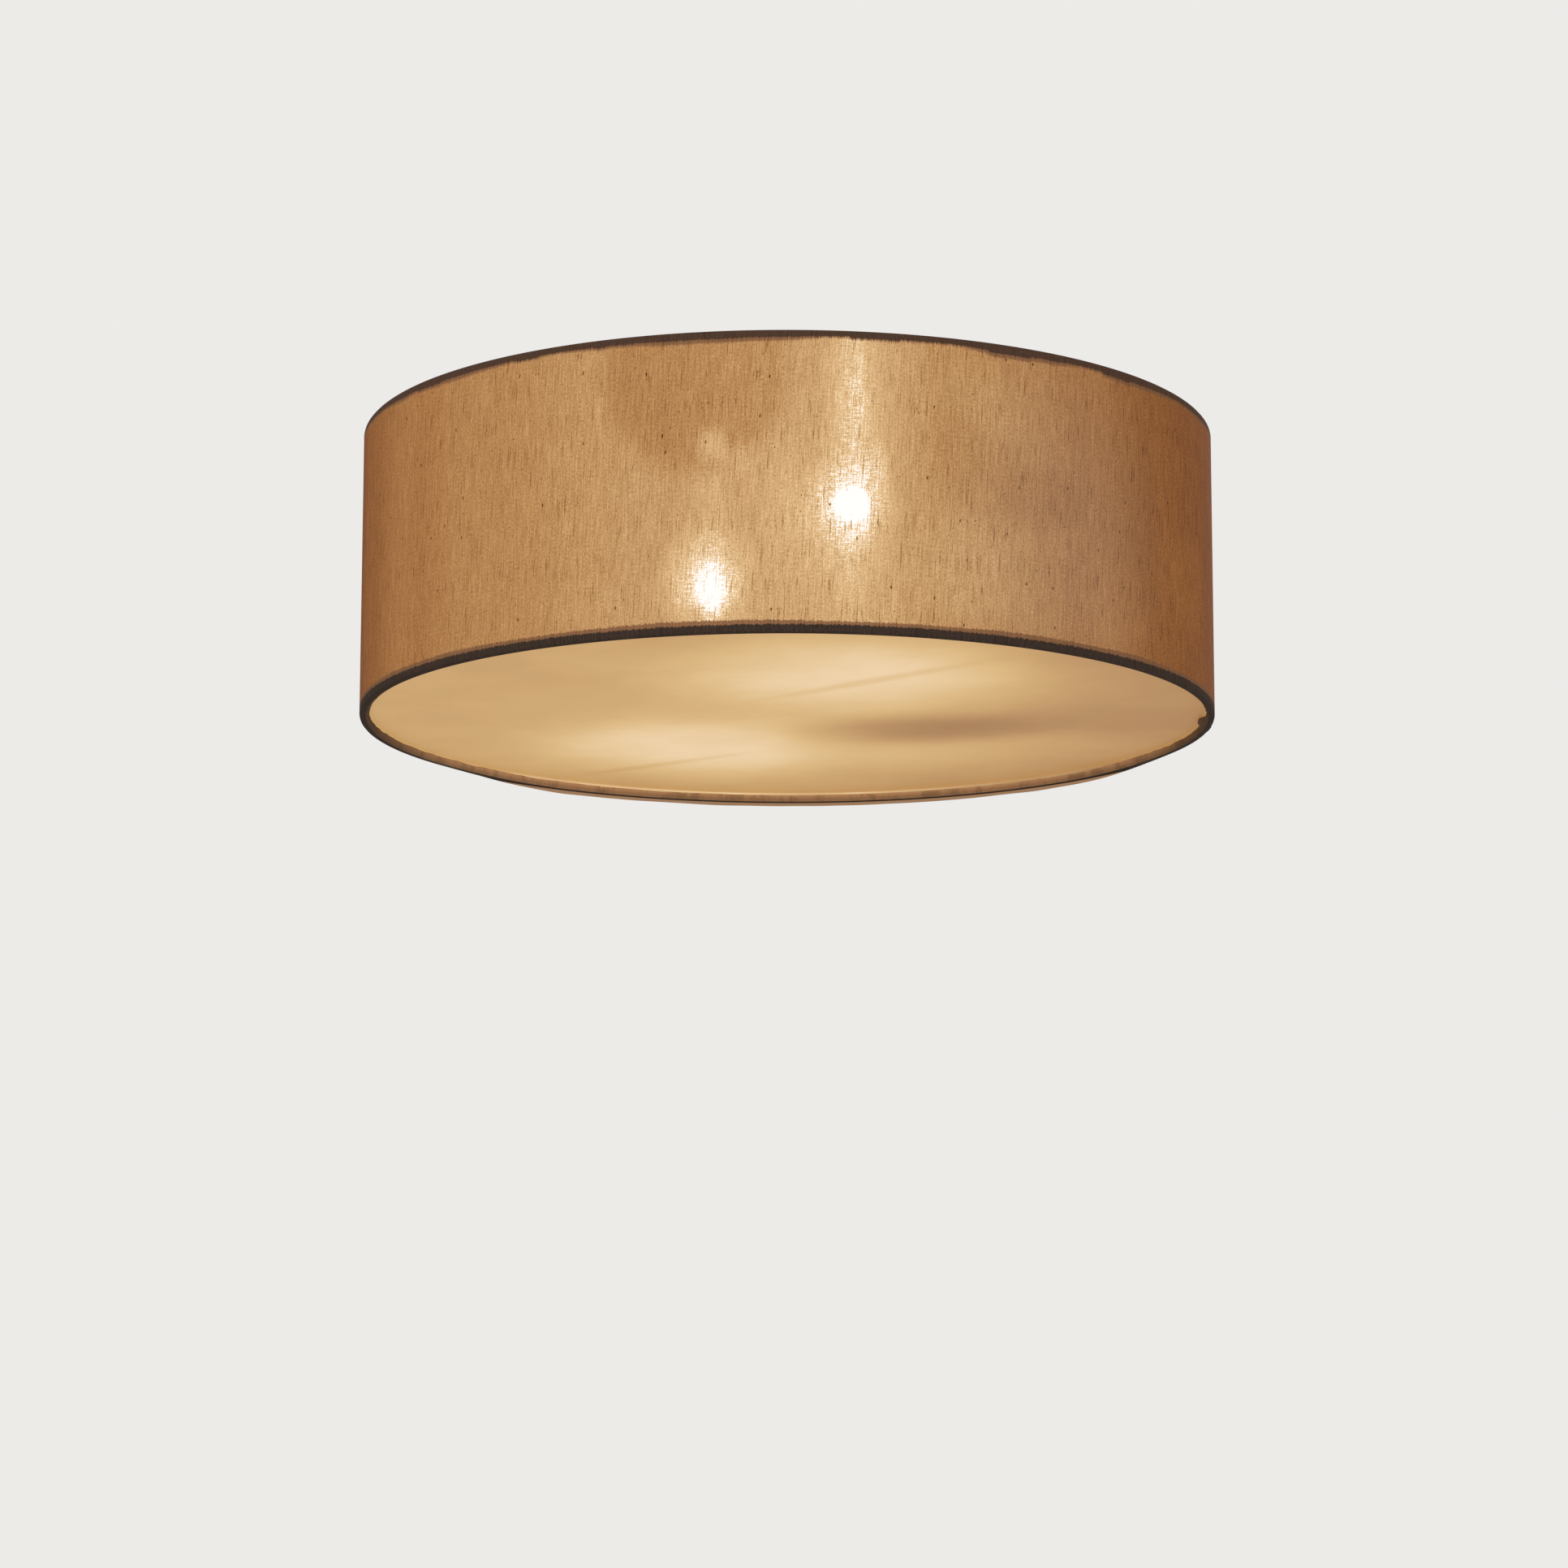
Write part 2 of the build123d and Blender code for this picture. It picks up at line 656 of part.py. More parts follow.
def holder_cap(angle):
    """Domed rear cap with a threaded boss for the nipple."""
    with BuildPart() as piece:
        with BuildSketch(along_lamp(angle, ear_face)):
            with BuildLine():
                dome = CenterArc(
                    (dome_radius, holder_radius - dome_radius), dome_radius, 90, 90
                )
                Polyline(
                    dome @ 0,
                    (holder_cap_length, holder_radius),
                    (holder_cap_length, holder_inside),
                    (dome_radius, holder_inside),
                )
                inner = CenterArc(
                    (dome_radius, holder_radius - dome_radius),
                    dome_radius - holder_wall,
                    90,
                    90,
                )
                Polyline(
                    inner @ 1,
                    (holder_wall, boss_radius),
                    (boss_length, boss_radius),
                    (boss_length, tube_radius + seat_gap),
                    (0, tube_radius + seat_gap),
                    dome @ 1,
                )
            make_face()
        revolve(axis=lamp_line(angle))
    return piece


def holder_body(angle):
    """Skirt round the bulb's cap, with a shoulder that clamps the carrier on the rear cap."""
    shoulder = holder_cap_length + carrier_flange
    with BuildPart() as piece:
        with BuildSketch(along_lamp(angle, ear_face)):
            with BuildLine():
                Polyline(
                    (holder_cap_length, holder_radius),
                    (holder_length, holder_radius),
                    (holder_length, holder_inside),
                    (shoulder, holder_inside),
                    (shoulder, carrier_radius + hole_gap),
                    (holder_cap_length, carrier_radius + hole_gap),
                    close=True,
                )
            make_face()
        revolve(axis=lamp_line(angle))
        mouth_edges = piece.edges().filter_by(GeomType.CIRCLE).sort_by(lamp_line(angle))[-2:]
        fillet(mouth_edges, mouth_round)
    return piece


def holder_carrier(angle):
    """Insulating disc that holds the contacts, with a flange behind the body's shoulder."""
    flange_start = holder_cap_length - carrier_flange
    with BuildPart() as piece:
        with BuildSketch(across_lamp(angle, ear_face + carrier_start)):
            Circle(carrier_radius)
        extrude(amount=carrier_end - carrier_start)
        with BuildSketch(across_lamp(angle, ear_face + flange_start)):
            Circle(holder_inside - seat_gap)
        extrude(amount=carrier_flange)
    return piece


def holder_contact(angle):
    """Bent brass strip that the bulb's end presses on."""
    top = carrier_end + contact_thickness
    with BuildPart() as piece:
        with BuildSketch(along_lamp(angle, ear_face)):
            with BuildLine():
                Polyline(
                    (carrier_end, -contact_reach),
                    (top, -contact_reach),
                    (top, -contact_bend),
                    (top + contact_rise, -contact_bend / 2),
                    (top + contact_rise, contact_bend),
                    (carrier_end + contact_rise, contact_bend),
                    (carrier_end + contact_rise, -contact_bend / 2),
                    (carrier_end, -contact_bend),
                    close=True,
                )
            make_face()
        extrude(amount=contact_width / 2, both=True)
    return piece


def holder_shell(angle):
    """Metal screw shell with an open base that rests on the carrier."""
    shell_inside = cap_crest + shell_gap
    with BuildPart() as piece:
        with BuildSketch(across_lamp(angle, ear_face + carrier_end)):
            Circle(shell_inside + shell_thickness)
            Circle(shell_base_hole, mode=Mode.SUBTRACT)
        extrude(amount=shell_thickness)
        with BuildSketch(across_lamp(angle, ear_face + carrier_end)):
            Circle(shell_inside + shell_thickness)
            Circle(shell_inside, mode=Mode.SUBTRACT)
        extrude(amount=shell_length)
    return piece


holder_pieces = {
    "cap": holder_cap,
    "body": holder_body,
    "carrier": holder_carrier,
    "contact": holder_contact,
    "shell": holder_shell,
}
for lamp_side, angle in lamp_angles.items():
    for name, make in holder_pieces.items():
        save(make(angle), f"holder_{lamp_side}_{name}")

# ---------------------------------------------------------------- bulbs

bulb_base = ear_face + bulb_seat


def bulb_tip(angle):
    """Centre contact: a flat button on a short stem."""
    with BuildPart() as piece:
        with BuildSketch(across_lamp(angle, bulb_base)):
            Circle(tip_radius)
        extrude(amount=tip_height)
        with BuildSketch(across_lamp(angle, bulb_base)):
            Circle(tip_stem_radius)
        extrude(amount=tip_stem_length)
    return piece


def bulb_insulator(angle):
    """Dark glass cone between the centre contact and the screw cap."""
    inside = tip_stem_radius + seat_gap
    outside = cap_root - cap_thickness - seat_gap
    end = insulator_start + insulator_length
    with BuildPart() as piece:
        with BuildSketch(along_lamp(angle, bulb_base)):
            with BuildLine():
                Polyline(
                    (insulator_start, inside),
                    (insulator_start, insulator_top),
                    (insulator_start + insulator_cone, outside),
                    (end, outside),
                    (end, inside),
                    close=True,
                )
            make_face()
        revolve(axis=lamp_line(angle))
    return piece


def thread_wave(inset):
    """Rounded crests and roots of the screw cap's wall, INSET in from its outside."""
    middle = (cap_crest + cap_root) / 2 - inset
    for turn in range(cap_turns):
        start = cap_thread_start + turn * cap_pitch
        centre = start + cap_pitch / 2
        ThreePointArc(
            (start, middle), (start + cap_pitch / 4, cap_crest - inset), (centre, middle)
        )
        ThreePointArc(
            (centre, middle),
            (centre + cap_pitch / 4, cap_root - inset),
            (start + cap_pitch, middle),
        )


def bulb_cap(angle):
    """Thin screw cap: a short collar, the thread and a plain rim round the glass."""
    middle = (cap_crest + cap_root) / 2
    thread_end = cap_thread_start + cap_turns * cap_pitch
    collar = insulator_start + insulator_cone
    with BuildPart() as piece:
        with BuildSketch(along_lamp(angle, bulb_base)):
            with BuildLine():
                thread_wave(0)
                thread_wave(cap_thickness)
                Polyline(
                    (cap_thread_start, middle),
                    (collar, cap_root),
                    (collar, cap_root - cap_thickness),
                    (cap_thread_start, middle - cap_thickness),
                )
                Polyline(
                    (thread_end, middle),
                    (thread_end + cap_thickness, cap_crest),
                    (cap_length, cap_crest),
                    (cap_length, cap_crest - cap_thickness),
                    (thread_end + cap_thickness, cap_crest - cap_thickness),
                    (thread_end, middle - cap_thickness),
                )
            make_face()
        revolve(axis=lamp_line(angle))
    return piece


def bulb_outline(inset):
    """Neck and globe of the bulb's glass, INSET in from its outside, ends given back."""
    radius = bulb_radius - inset
    join = radians(globe_join)
    meet = (globe_centre + radius * cos(join), radius * sin(join))
    neck = Spline(
        (neck_start, neck_radius - inset),
        meet,
        tangents=[(1, neck_flare), (sin(join), -cos(join))],
    )
    globe = CenterArc((globe_centre, 0), radius, 0, globe_join)
    return neck @ 0, globe @ 0


def bulb_glass(angle):
    """Clear envelope, open at its neck."""
    with BuildPart() as piece:
        with BuildSketch(along_lamp(angle, bulb_base)):
            with BuildLine():
                neck_outside, end_outside = bulb_outline(0)
                neck_inside, end_inside = bulb_outline(glass_thickness)
                Line(neck_outside, neck_inside)
                Line(end_outside, end_inside)
            make_face()
        revolve(axis=lamp_line(angle))
    return piece


def bulb_stem(angle):
    """Hollow glass flare sealed in the neck, drawn out to a solid rod."""
    flare_end = neck_start + stem_flare
    flare_radius = neck_radius - glass_thickness - seat_gap
    inner_end = flare_end - 2 * glass_thickness
    with BuildPart() as piece:
        with BuildSketch(along_lamp(angle, bulb_base)):
            with BuildLine():
                outside = Spline(
                    (neck_start, flare_radius),
                    (flare_end, stem_radius),
                    tangents=[(1, -stem_slope), (1, 0)],
                )
                inside = Spline(
                    (neck_start, flare_radius - glass_thickness),
                    (inner_end, 0),
                    tangents=[(1, -stem_slope), (1, -stem_slope / 3)],
                )
                Line(outside @ 0, inside @ 0)
                Polyline(
                    outside @ 1,
                    (neck_start + stem_length, stem_radius),
                    (neck_start + stem_length, 0),
                    inside @ 1,
                )
            make_face()
        revolve(axis=lamp_line(angle))
    return piece


def bulb_supports(angle):
    """Two wires from the stem to the capsule's flat end."""
    start = neck_start + stem_length
    with BuildPart() as piece:
        with BuildSketch(across_lamp(angle, bulb_base + start)):
            with GridLocations(support_spacing, 0, 2, 1):
                Circle(support_wire / 2)
        extrude(amount=capsule_start - start)
    return piece


def bulb_capsule(angle):
    """Small closed inner tube with a pinched flat end."""
    tube_start = capsule_start + pinch_length
    tube_end = capsule_start + capsule_length
    with BuildPart() as piece:
        with BuildSketch(across_lamp(angle, bulb_base + capsule_start)):
            Rectangle(pinch_width, pinch_thickness)
        extrude(amount=pinch_length + capsule_wall)
        with BuildSketch(across_lamp(angle, bulb_base + tube_start)):
            Circle(capsule_radius)
        extrude(amount=tube_end - tube_start)
        end_edge = piece.edges().filter_by(GeomType.CIRCLE).sort_by(lamp_line(angle))[-1]
        fillet(end_edge, capsule_round)
        with BuildSketch(across_lamp(angle, bulb_base + tube_start + capsule_wall)):
            Circle(capsule_radius - capsule_wall)
        extrude(amount=tube_end - tube_start - 2 * capsule_wall, mode=Mode.SUBTRACT)
    return piece


def bulb_filament(angle):
    """Wound filament on its thin leads, inside the capsule."""
    tube_start = capsule_start + pinch_length + capsule_wall
    tube_length = capsule_length - pinch_length - 2 * capsule_wall
    coil_start = tube_start + (tube_length - filament_length) / 2
    with BuildPart() as piece:
        with BuildSketch(across_lamp(angle, bulb_base + tube_start)):
            Circle(filament_lead)
        extrude(amount=tube_length)
        with BuildSketch(across_lamp(angle, bulb_base + coil_start)):
            Circle(filament_radius)
        extrude(amount=filament_length)
    return piece


bulb_pieces = {
    "tip": bulb_tip,
    "insulator": bulb_insulator,
    "cap": bulb_cap,
    "glass": bulb_glass,
    "stem": bulb_stem,
    "supports": bulb_supports,
    "capsule": bulb_capsule,
    "filament": bulb_filament,
}
for lamp_side, angle in lamp_angles.items():
    for name, make in bulb_pieces.items():
        save(make(angle), f"bulb_{lamp_side}_{name}")
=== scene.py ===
from math import atan2, cos, pi, radians, sin

import bmesh
import bpy
from mathutils import Matrix, Vector, noise


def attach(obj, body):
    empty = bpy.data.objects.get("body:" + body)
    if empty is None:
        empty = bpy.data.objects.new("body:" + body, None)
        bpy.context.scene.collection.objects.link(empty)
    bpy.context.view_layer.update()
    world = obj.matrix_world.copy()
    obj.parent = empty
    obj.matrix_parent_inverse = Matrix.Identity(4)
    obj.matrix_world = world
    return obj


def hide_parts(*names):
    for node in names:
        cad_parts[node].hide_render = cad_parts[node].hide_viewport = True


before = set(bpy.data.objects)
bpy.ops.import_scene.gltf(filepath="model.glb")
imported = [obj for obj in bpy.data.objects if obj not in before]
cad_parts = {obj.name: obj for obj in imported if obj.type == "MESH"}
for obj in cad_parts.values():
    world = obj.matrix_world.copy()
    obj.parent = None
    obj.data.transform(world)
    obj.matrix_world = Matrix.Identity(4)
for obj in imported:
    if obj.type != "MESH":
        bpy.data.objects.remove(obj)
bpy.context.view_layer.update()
bpy.ops.object.select_all(action="DESELECT")

# ------------------------------------------------------------ shade fabric
# One length of slubbed taupe cloth, laminated to the lining, wrapped round both wire rings
# and glued down inside them. Its ends overlap on the right, and its cut edges are uneven.

shade_radius = 0.2
rim_top = -0.027
rim_bottom = -0.162
cloth_thickness = 0.0004
cloth_middle = shade_radius - cloth_thickness / 2
tuck_radius = 0.19655  # the turned-in cloth, just inside the ring wire
hem_depth = 0.00335  # from the rim up to the cut edge inside it
roll_depth = 0.0022  # the part of that which lies round the wire
seam_from = radians(3.0)  # the overlap of the cloth's ends
seam_to = radians(5.6)
around = 480  # faces round the shade
wall_rows = 14

# the rounding at a rim: radius, and height past the rim's edge
rim_turn = [
    (tuck_radius, 0.0012),
    (tuck_radius + 0.00012, 0.0007),
    (tuck_radius + 0.00045, 0.00032),
    (tuck_radius + 0.0009, 0.0002),
    (cloth_middle - 0.0009, 0.0002),
    (cloth_middle - 0.00045, 0.00032),
    (cloth_middle - 0.00012, 0.0007),
    (cloth_middle, 0.0012),
]
cloth_profile = [(tuck_radius, rim_bottom + depth) for depth in (hem_depth, roll_depth)]
cloth_profile += [(radius, rim_bottom + rise) for radius, rise in rim_turn]
for row in range(1, wall_rows):
    cloth_profile.append(
        (cloth_middle, rim_bottom + (rim_top - rim_bottom) * row / wall_rows)
    )
cloth_profile += [(radius, rim_top - rise) for radius, rise in reversed(rim_turn)]
cloth_profile += [(tuck_radius, rim_top - depth) for depth in (roll_depth, hem_depth)]

start_radius, start_height = cloth_profile[0]
bpy.ops.mesh.primitive_circle_add(
    vertices=around, radius=start_radius, location=(0, 0, start_height)
)
shade_cover = bpy.context.object
shade_cover.name = "shade_cover"
bpy.ops.object.mode_set(mode="EDIT")
for (last_radius, last_height), (radius, height) in zip(cloth_profile, cloth_profile[1:]):
    bpy.ops.mesh.extrude_region_move(
        TRANSFORM_OT_translate={"value": (0, 0, height - last_height)}
    )
    grow = radius / last_radius
    bpy.ops.transform.resize(value=(grow, grow, 1), center_override=(0, 0, height))
bpy.ops.object.mode_set(mode="OBJECT")
bpy.ops.object.transform_apply()

# how the hems depart from a true round, in metres
hem_within = 0.005  # both hems lie nearer their rims than this
flat_from = 0.001  # deeper than this inside a rim, the turned-in cloth stands upright
cut_edge_from = 0.003  # and deeper than this is only its cut edge
ripple_pace = 9  # long waves and short ones
pucker_pace = 38
cut_ripple = 0.0006  # how far they move the cut edges
cut_pucker = 0.0005
cut_level = 0.0001
pucker_reach = 0.00065  # puckers of the turned-in cloth
pucker_least = 0.00012
tab_angle = radians(1.6)  # where a corner of the overlap stands off inside the bottom rim
tab_half = radians(2.1)
tab_reach = 0.0027
tab_squareness = 2.2
fuller = 0.0008  # the roll of cloth round the bottom wire is fuller on the left
fuller_depth = 0.0014
loose_from = radians(21)  # behind, the hem is slack and its outer fold hangs lower still
loose_to = radians(148)
loose_ends = radians(24)
slack = 0.0009
loose_drop = 0.0022
fold_from = cloth_middle - 0.0008
fold_full = cloth_middle - 0.0002
overlap_outside = 0.0003  # the overlap stands proud by one thickness of cloth
overlap_inside = -0.0005


def clamped(share):
    """The share, kept from 0 to 1."""
    return max(0.0, min(1.0, share))


def round_noise(angle, pace, draw):
    """Smooth noise round the shade; each DRAW is another pattern."""
    return noise.noise(Vector((cos(angle) * pace, sin(angle) * pace, draw)))


cloth = bmesh.new()
cloth.from_mesh(shade_cover.data)
for vertex in cloth.verts:
    x, y, z = vertex.co
    angle = atan2(y, x)
    radius = Vector((x, y)).length
    out = Vector((x, y, 0)) / radius
    side = 1 if z > (rim_top + rim_bottom) / 2 else -1
    depth = abs(z - (rim_top if side > 0 else rim_bottom))
    ripple = round_noise(angle, ripple_pace, side * 3.0)
    pucker = round_noise(angle, pucker_pace, side * 7.0)
    turned_in = radius < tuck_radius + 0.0001
    if turned_in and depth > cut_edge_from:
        # the cut edge
        vertex.co.z -= side * min(0.0, cut_ripple * ripple + cut_pucker * pucker - cut_level)
    if turned_in and depth > flat_from:
        vertex.co -= out * (pucker_least + pucker_reach * max(0.0, pucker + 0.3 * ripple))
        if side < 0:
            tab = clamped(tab_squareness * (1 - abs(angle - tab_angle) / tab_half))
            vertex.co -= out * tab_reach * tab * min(1.0, depth / roll_depth)
    if side < 0 and radius < tuck_radius + 0.0003 and depth < cut_edge_from:
        # the roll round the bottom wire
        vertex.co -= out * fuller * max(0.0, -cos(angle)) * min(1.0, depth / fuller_depth)
    loose = clamped(min(angle - loose_from, loose_to - angle) / loose_ends)
    if side < 0 and depth < hem_within and loose > 0:
        # the slack hem behind
        loose *= loose * (3 - 2 * loose)
        outermost = clamped((radius - fold_from) / (fold_full - fold_from))
        vertex.co.z -= loose * (slack + loose_drop * outermost * (1 + 0.12 * ripple))
    if seam_from < angle < seam_to:
        outside = radius > cloth_middle - 0.0003
        vertex.co += out * (overlap_outside if outside else overlap_inside)
bmesh.ops.recalc_face_normals(cloth, faces=cloth.faces)
cloth.to_mesh(shade_cover.data)
cloth.free()

thicken = shade_cover.modifiers.new("thickness", "SOLIDIFY")
thicken.thickness = cloth_thickness
thicken.offset = 0
bpy.ops.object.modifier_apply(modifier="thickness")
bpy.ops.object.shade_smooth_by_angle(angle=radians(50))


def node(tree, kind, inputs=None, **settings):
    """Adds one shader node; each input is a value or the socket that feeds it."""
    made = tree.nodes.new("ShaderNode" + kind)
    for name, value in settings.items():
        setattr(made, name, value)
    for place, value in (inputs or {}).items():
        if isinstance(value, bpy.types.NodeSocket):
            tree.links.new(value, made.inputs[place])
        else:
            made.inputs[place].default_value = value
    return made


def sums(tree, operation, *values):
    """One step of arithmetic on numbers or sockets."""
    return node(tree, "Math", dict(enumerate(values)), operation=operation).outputs[0]


def ramp(tree, factor, stops, interpolation="LINEAR"):
    """Colour ramp with (place, colour) stops."""
    made = node(tree, "ValToRGB", {"Fac": factor})
    made.color_ramp.interpolation = interpolation
    made.color_ramp.elements[0].position = stops[0][0]
    made.color_ramp.elements[1].position = stops[-1][0]
    for place, _ in stops[1:-1]:
        made.color_ramp.elements.new(place)
    for element, (_, colour) in zip(made.color_ramp.elements, stops):
        element.color = (*colour, 1)
    return made.outputs["Color"]


def fade(tree, value, low, high, at_low=0.0, at_high=1.0):
    """Smooth change from AT_LOW to AT_HIGH as VALUE goes from LOW to HIGH."""
    made = node(
        tree,
        "MapRange",
        {"Value": value, "From Min": low, "From Max": high, "To Min": at_low, "To Max": at_high},
        interpolation_type="SMOOTHERSTEP",
    )
    return made.outputs["Result"]


def patch(tree, place, centre, size, turn, strength, core):
    """Soft-edged ellipsoid of light or shadow, full inside CORE of its SIZE."""
    local = node(
        tree,
        "Mapping",
        {"Vector": place, "Location": centre, "Rotation": turn, "Scale": size},
        vector_type="TEXTURE",
    )
    distance = node(tree, "VectorMath", {0: local.outputs[0]}, operation="LENGTH")
    return fade(tree, distance.outputs["Value"], core, 1.0, strength, 0.0)


patch_depth = 0.05  # right through the wall or the plate that it lies on


def wall_patch(tree, place, angle, rise, size, strength, core=0.0):
    """A patch on the shade's wall: ANGLE round it, RISE over the bottom rim, in mm."""
    turn = radians(angle)
    centre = (
        shade_radius * cos(turn),
        shade_radius * sin(turn),
        rim_bottom + rise / 1000,
    )
    width, height = size
    extent = (patch_depth, width / 1000, height / 1000)
    return patch(tree, place, centre, extent, (0, 0, turn), strength, core)


def node_group(name, inputs, outputs):
    """New node group: its tree, the sockets that it is given and those that it fills."""
    tree = bpy.data.node_groups.new(name, "ShaderNodeTree")
    for in_out, sockets in (("INPUT", inputs), ("OUTPUT", outputs)):
        for socket, kind in sockets.items():
            tree.interface.new_socket(
                name=socket, in_out=in_out, socket_type="NodeSocket" + kind
            )
    given = tree.nodes.new("NodeGroupInput").outputs
    filled = tree.nodes.new("NodeGroupOutput").inputs
    return tree, given, filled


# The light that the two lamps throw on the shade's wall, from 0 to 1.
wall_light, given, filled = node_group(
    "light_on_the_wall", {"Place": "Vector"}, {"Light": "Float"}
)
place = given["Place"]
parts = node(wall_light, "SeparateXYZ", {0: place}).outputs
angle = sums(wall_light, "ARCTAN2", parts["Y"], parts["X"])
turn_share = sums(wall_light, "MULTIPLY_ADD", angle, 1 / (2 * pi), 0.5)
# degrees round the shade, light
light_round_shade = [
    (-180, 0.18), (-172, 0.225), (-163, 0.29), (-150, 0.40), (-130, 0.475), (-108, 0.565),
    (-92, 0.61), (-78, 0.61), (-70, 0.52), (-60, 0.46), (-48, 0.38), (-35, 0.285),
    (-22, 0.245), (-8, 0.215), (14, 0.20), (32, 0.25), (55, 0.38), (80, 0.52), (100, 0.60),
    (112, 0.58), (128, 0.48), (150, 0.33), (168, 0.2), (180, 0.15),
]
base_light = ramp(
    wall_light,
    turn_share,
    [((degrees + 180) / 360, (level, level, level)) for degrees, level in light_round_shade],
    "EASE",
)
# what the front lamp does on its wall, the back lamp repeats half a turn away
lamp_line = radians(-70)
lamp_out = (cos(lamp_line), sin(lamp_line), 0)
facing = node(wall_light, "VectorMath", {0: place, 1: lamp_out}, operation="DOT_PRODUCT")
which_half = sums(wall_light, "SIGN", facing.outputs["Value"])
half_turn = node(wall_light, "CombineXYZ", {0: which_half, 1: which_half, 2: 1.0})
folded = node(
    wall_light, "VectorMath", {0: place, 1: half_turn.outputs[0]}, operation="MULTIPLY"
).outputs[0]
light = base_light
# degrees round, mm over the bottom rim, size in mm, light added, share of the size at full
for details in (
    (-81.6, 78, (21, 125), 0.16, 0.0),  # bright upright streak in front of the lamp
    (-81.6, 108, (9, 55), 0.06, 0.0),
    (-87.0, 50, (34, 52), 0.09, 0.0),
    (-82.0, 57, (29, 30), 0.20, 0.0),  # glow round the bulb
    (-82.0, 57, (10.2, 10.2), 0.9, 0.26),
    (-100.2, 24, (31, 34), 0.27, 0.0),  # lower, softer spot
    (-99.3, 18, (12, 19), 0.34, 0.0),
    (-100.2, 24, (9, 14), 0.14, 0.0),
    (-99.8, 54, (14, 40), 0.06, 0.0),
    (-99.5, 84, (12, 13), 0.14, 0.1),
    (-96.0, 78, (12, 10), 0.06, 0.1),
    (-78.6, 76, (8, 13), 0.1, 0.1),
    (-101.5, 118, (52, 56), -0.10, 0.6),  # bowl-shaped shadow of the lampholder
    (-68.0, 84, (22, 30), -0.03, 0.3),
    (-57.0, 68, (34, 26), -0.04, 0.2),
    (-66.0, 30, (46, 34), 0.05, 0.1),
    (-63.0, 105, (26, 30), 0.03, 0.1),
    (-145.0, 60, (18, 110), -0.02, 0.2),
    (-42.0, 20, (42, 42), 0.03, 0.1),
    (-24.0, 46, (38, 40), 0.035, 0.1),
):
    light = sums(wall_light, "ADD", light, wall_patch(wall_light, folded, *details))
wall_light.links.new(light, filled["Light"])

# The cloth unrolled flat from its seam: metres round the shade, then metres up it. The
# upright threads lean a little, as they do where cloth is rolled on slightly askew.
thread_lean = 0.045
unrolled, given, filled = node_group(
    "cloth_unrolled", {"Place": "Vector"}, {"Cloth": "Vector"}
)
from_seam = node(
    unrolled,
    "VectorRotate",
    {"Vector": given["Place"], "Angle": pi - (seam_from + seam_to) / 2},
    rotation_type="Z_AXIS",
)
x, y, z = node(unrolled, "SeparateXYZ", {0: from_seam.outputs[0]}).outputs
arc = sums(unrolled, "MULTIPLY", sums(unrolled, "ARCTAN2", y, x), shade_radius)
arc = sums(unrolled, "MULTIPLY_ADD", z, -thread_lean, arc)
cloth_place = node(unrolled, "CombineXYZ", {0: arc, 1: z, 2: 0.0})
unrolled.links.new(cloth_place.outputs[0], filled["Cloth"])


def strands(tree, place, across, along, detail, rough=0.6, dimensions="2D"):
    """Noise with about ACROSS features to a metre sideways and ALONG lengthwise."""
    stretched = node(tree, "Mapping", {"Vector": place, "Scale": (across, along, along)})
    made = node(
        tree,
        "TexNoise",
        {"Vector": stretched.outputs[0], "Scale": 1.0, "Detail": detail, "Roughness": rough},
        noise_dimensions=dimensions,
    )
    return made.outputs[0]


# Slubbed weave: fine upright threads with thicker lengths in them, a few dark strands and
# nubs, and the cross threads that show where a bulb is close behind.
slub, given, filled = node_group(
    "slubbed_weave",
    {"Cloth": "Vector"},
    {"Threads": "Float", "Nubs": "Float", "Cross": "Float"},
)
place = given["Cloth"]
thread_layers = (  # threads to a metre, lengths to a metre, detail, share
    (1600, 58, 1.0, 0.58),
    (1400, 150, 1.0, 0.38),
    (1700, 900, 1.0, 0.84),
    (300, 14, 1.0, 0.13),
    (110, 7, 1.0, 0.10),
)
threads = -0.5 * sum(share for *_, share in thread_layers)
for across, along, detail, share in thread_layers:
    layer = strands(slub, place, across, along, detail)
    threads = sums(slub, "MULTIPLY_ADD", layer, share, threads)
dark = fade(slub, strands(slub, place, 1200, 75, 0.0), 0.74, 0.86)
threads = sums(slub, "MULTIPLY_ADD", dark, -0.38, threads)
slub.links.new(threads, filled["Threads"])
nubs = fade(slub, strands(slub, place, 560, 280, 0.0), 0.89, 0.93)
slub.links.new(nubs, filled["Nubs"])
cross = sums(slub, "SUBTRACT", strands(slub, place, 200, 1900, 1.0), 0.5)
pinholes = fade(slub, strands(slub, place, 1500, 1500, 0.0), 0.28, 0.16)
slub.links.new(sums(slub, "MULTIPLY_ADD", pinholes, 0.35, cross), filled["Cross"])


def finish(name, **constants):
    """New material: its node tree and its Principled shader, with plain values set."""
    material = bpy.data.materials.new(name)
    material.use_nodes = True
    tree = material.node_tree
    shader = tree.nodes["Principled BSDF"]
    for socket, value in constants.items():
        shader.inputs[socket.replace("_", " ")].default_value = value
    return material, tree, shader


def place_on_piece(tree):
    """The place on the piece, in the object's own metres."""
    return node(tree, "TexCoord").outputs["Object"]


def round_axis(tree, place):
    """X, Y and Z of a place, and how far it is from the shade's axis."""
    x, y, z = node(tree, "SeparateXYZ", {0: place}).outputs
    flat = node(tree, "CombineXYZ", {0: x, 1: y, 2: 0.0})
    reach = node(tree, "VectorMath", {0: flat.outputs[0]}, operation="LENGTH")
    return x, y, z, reach.outputs["Value"]


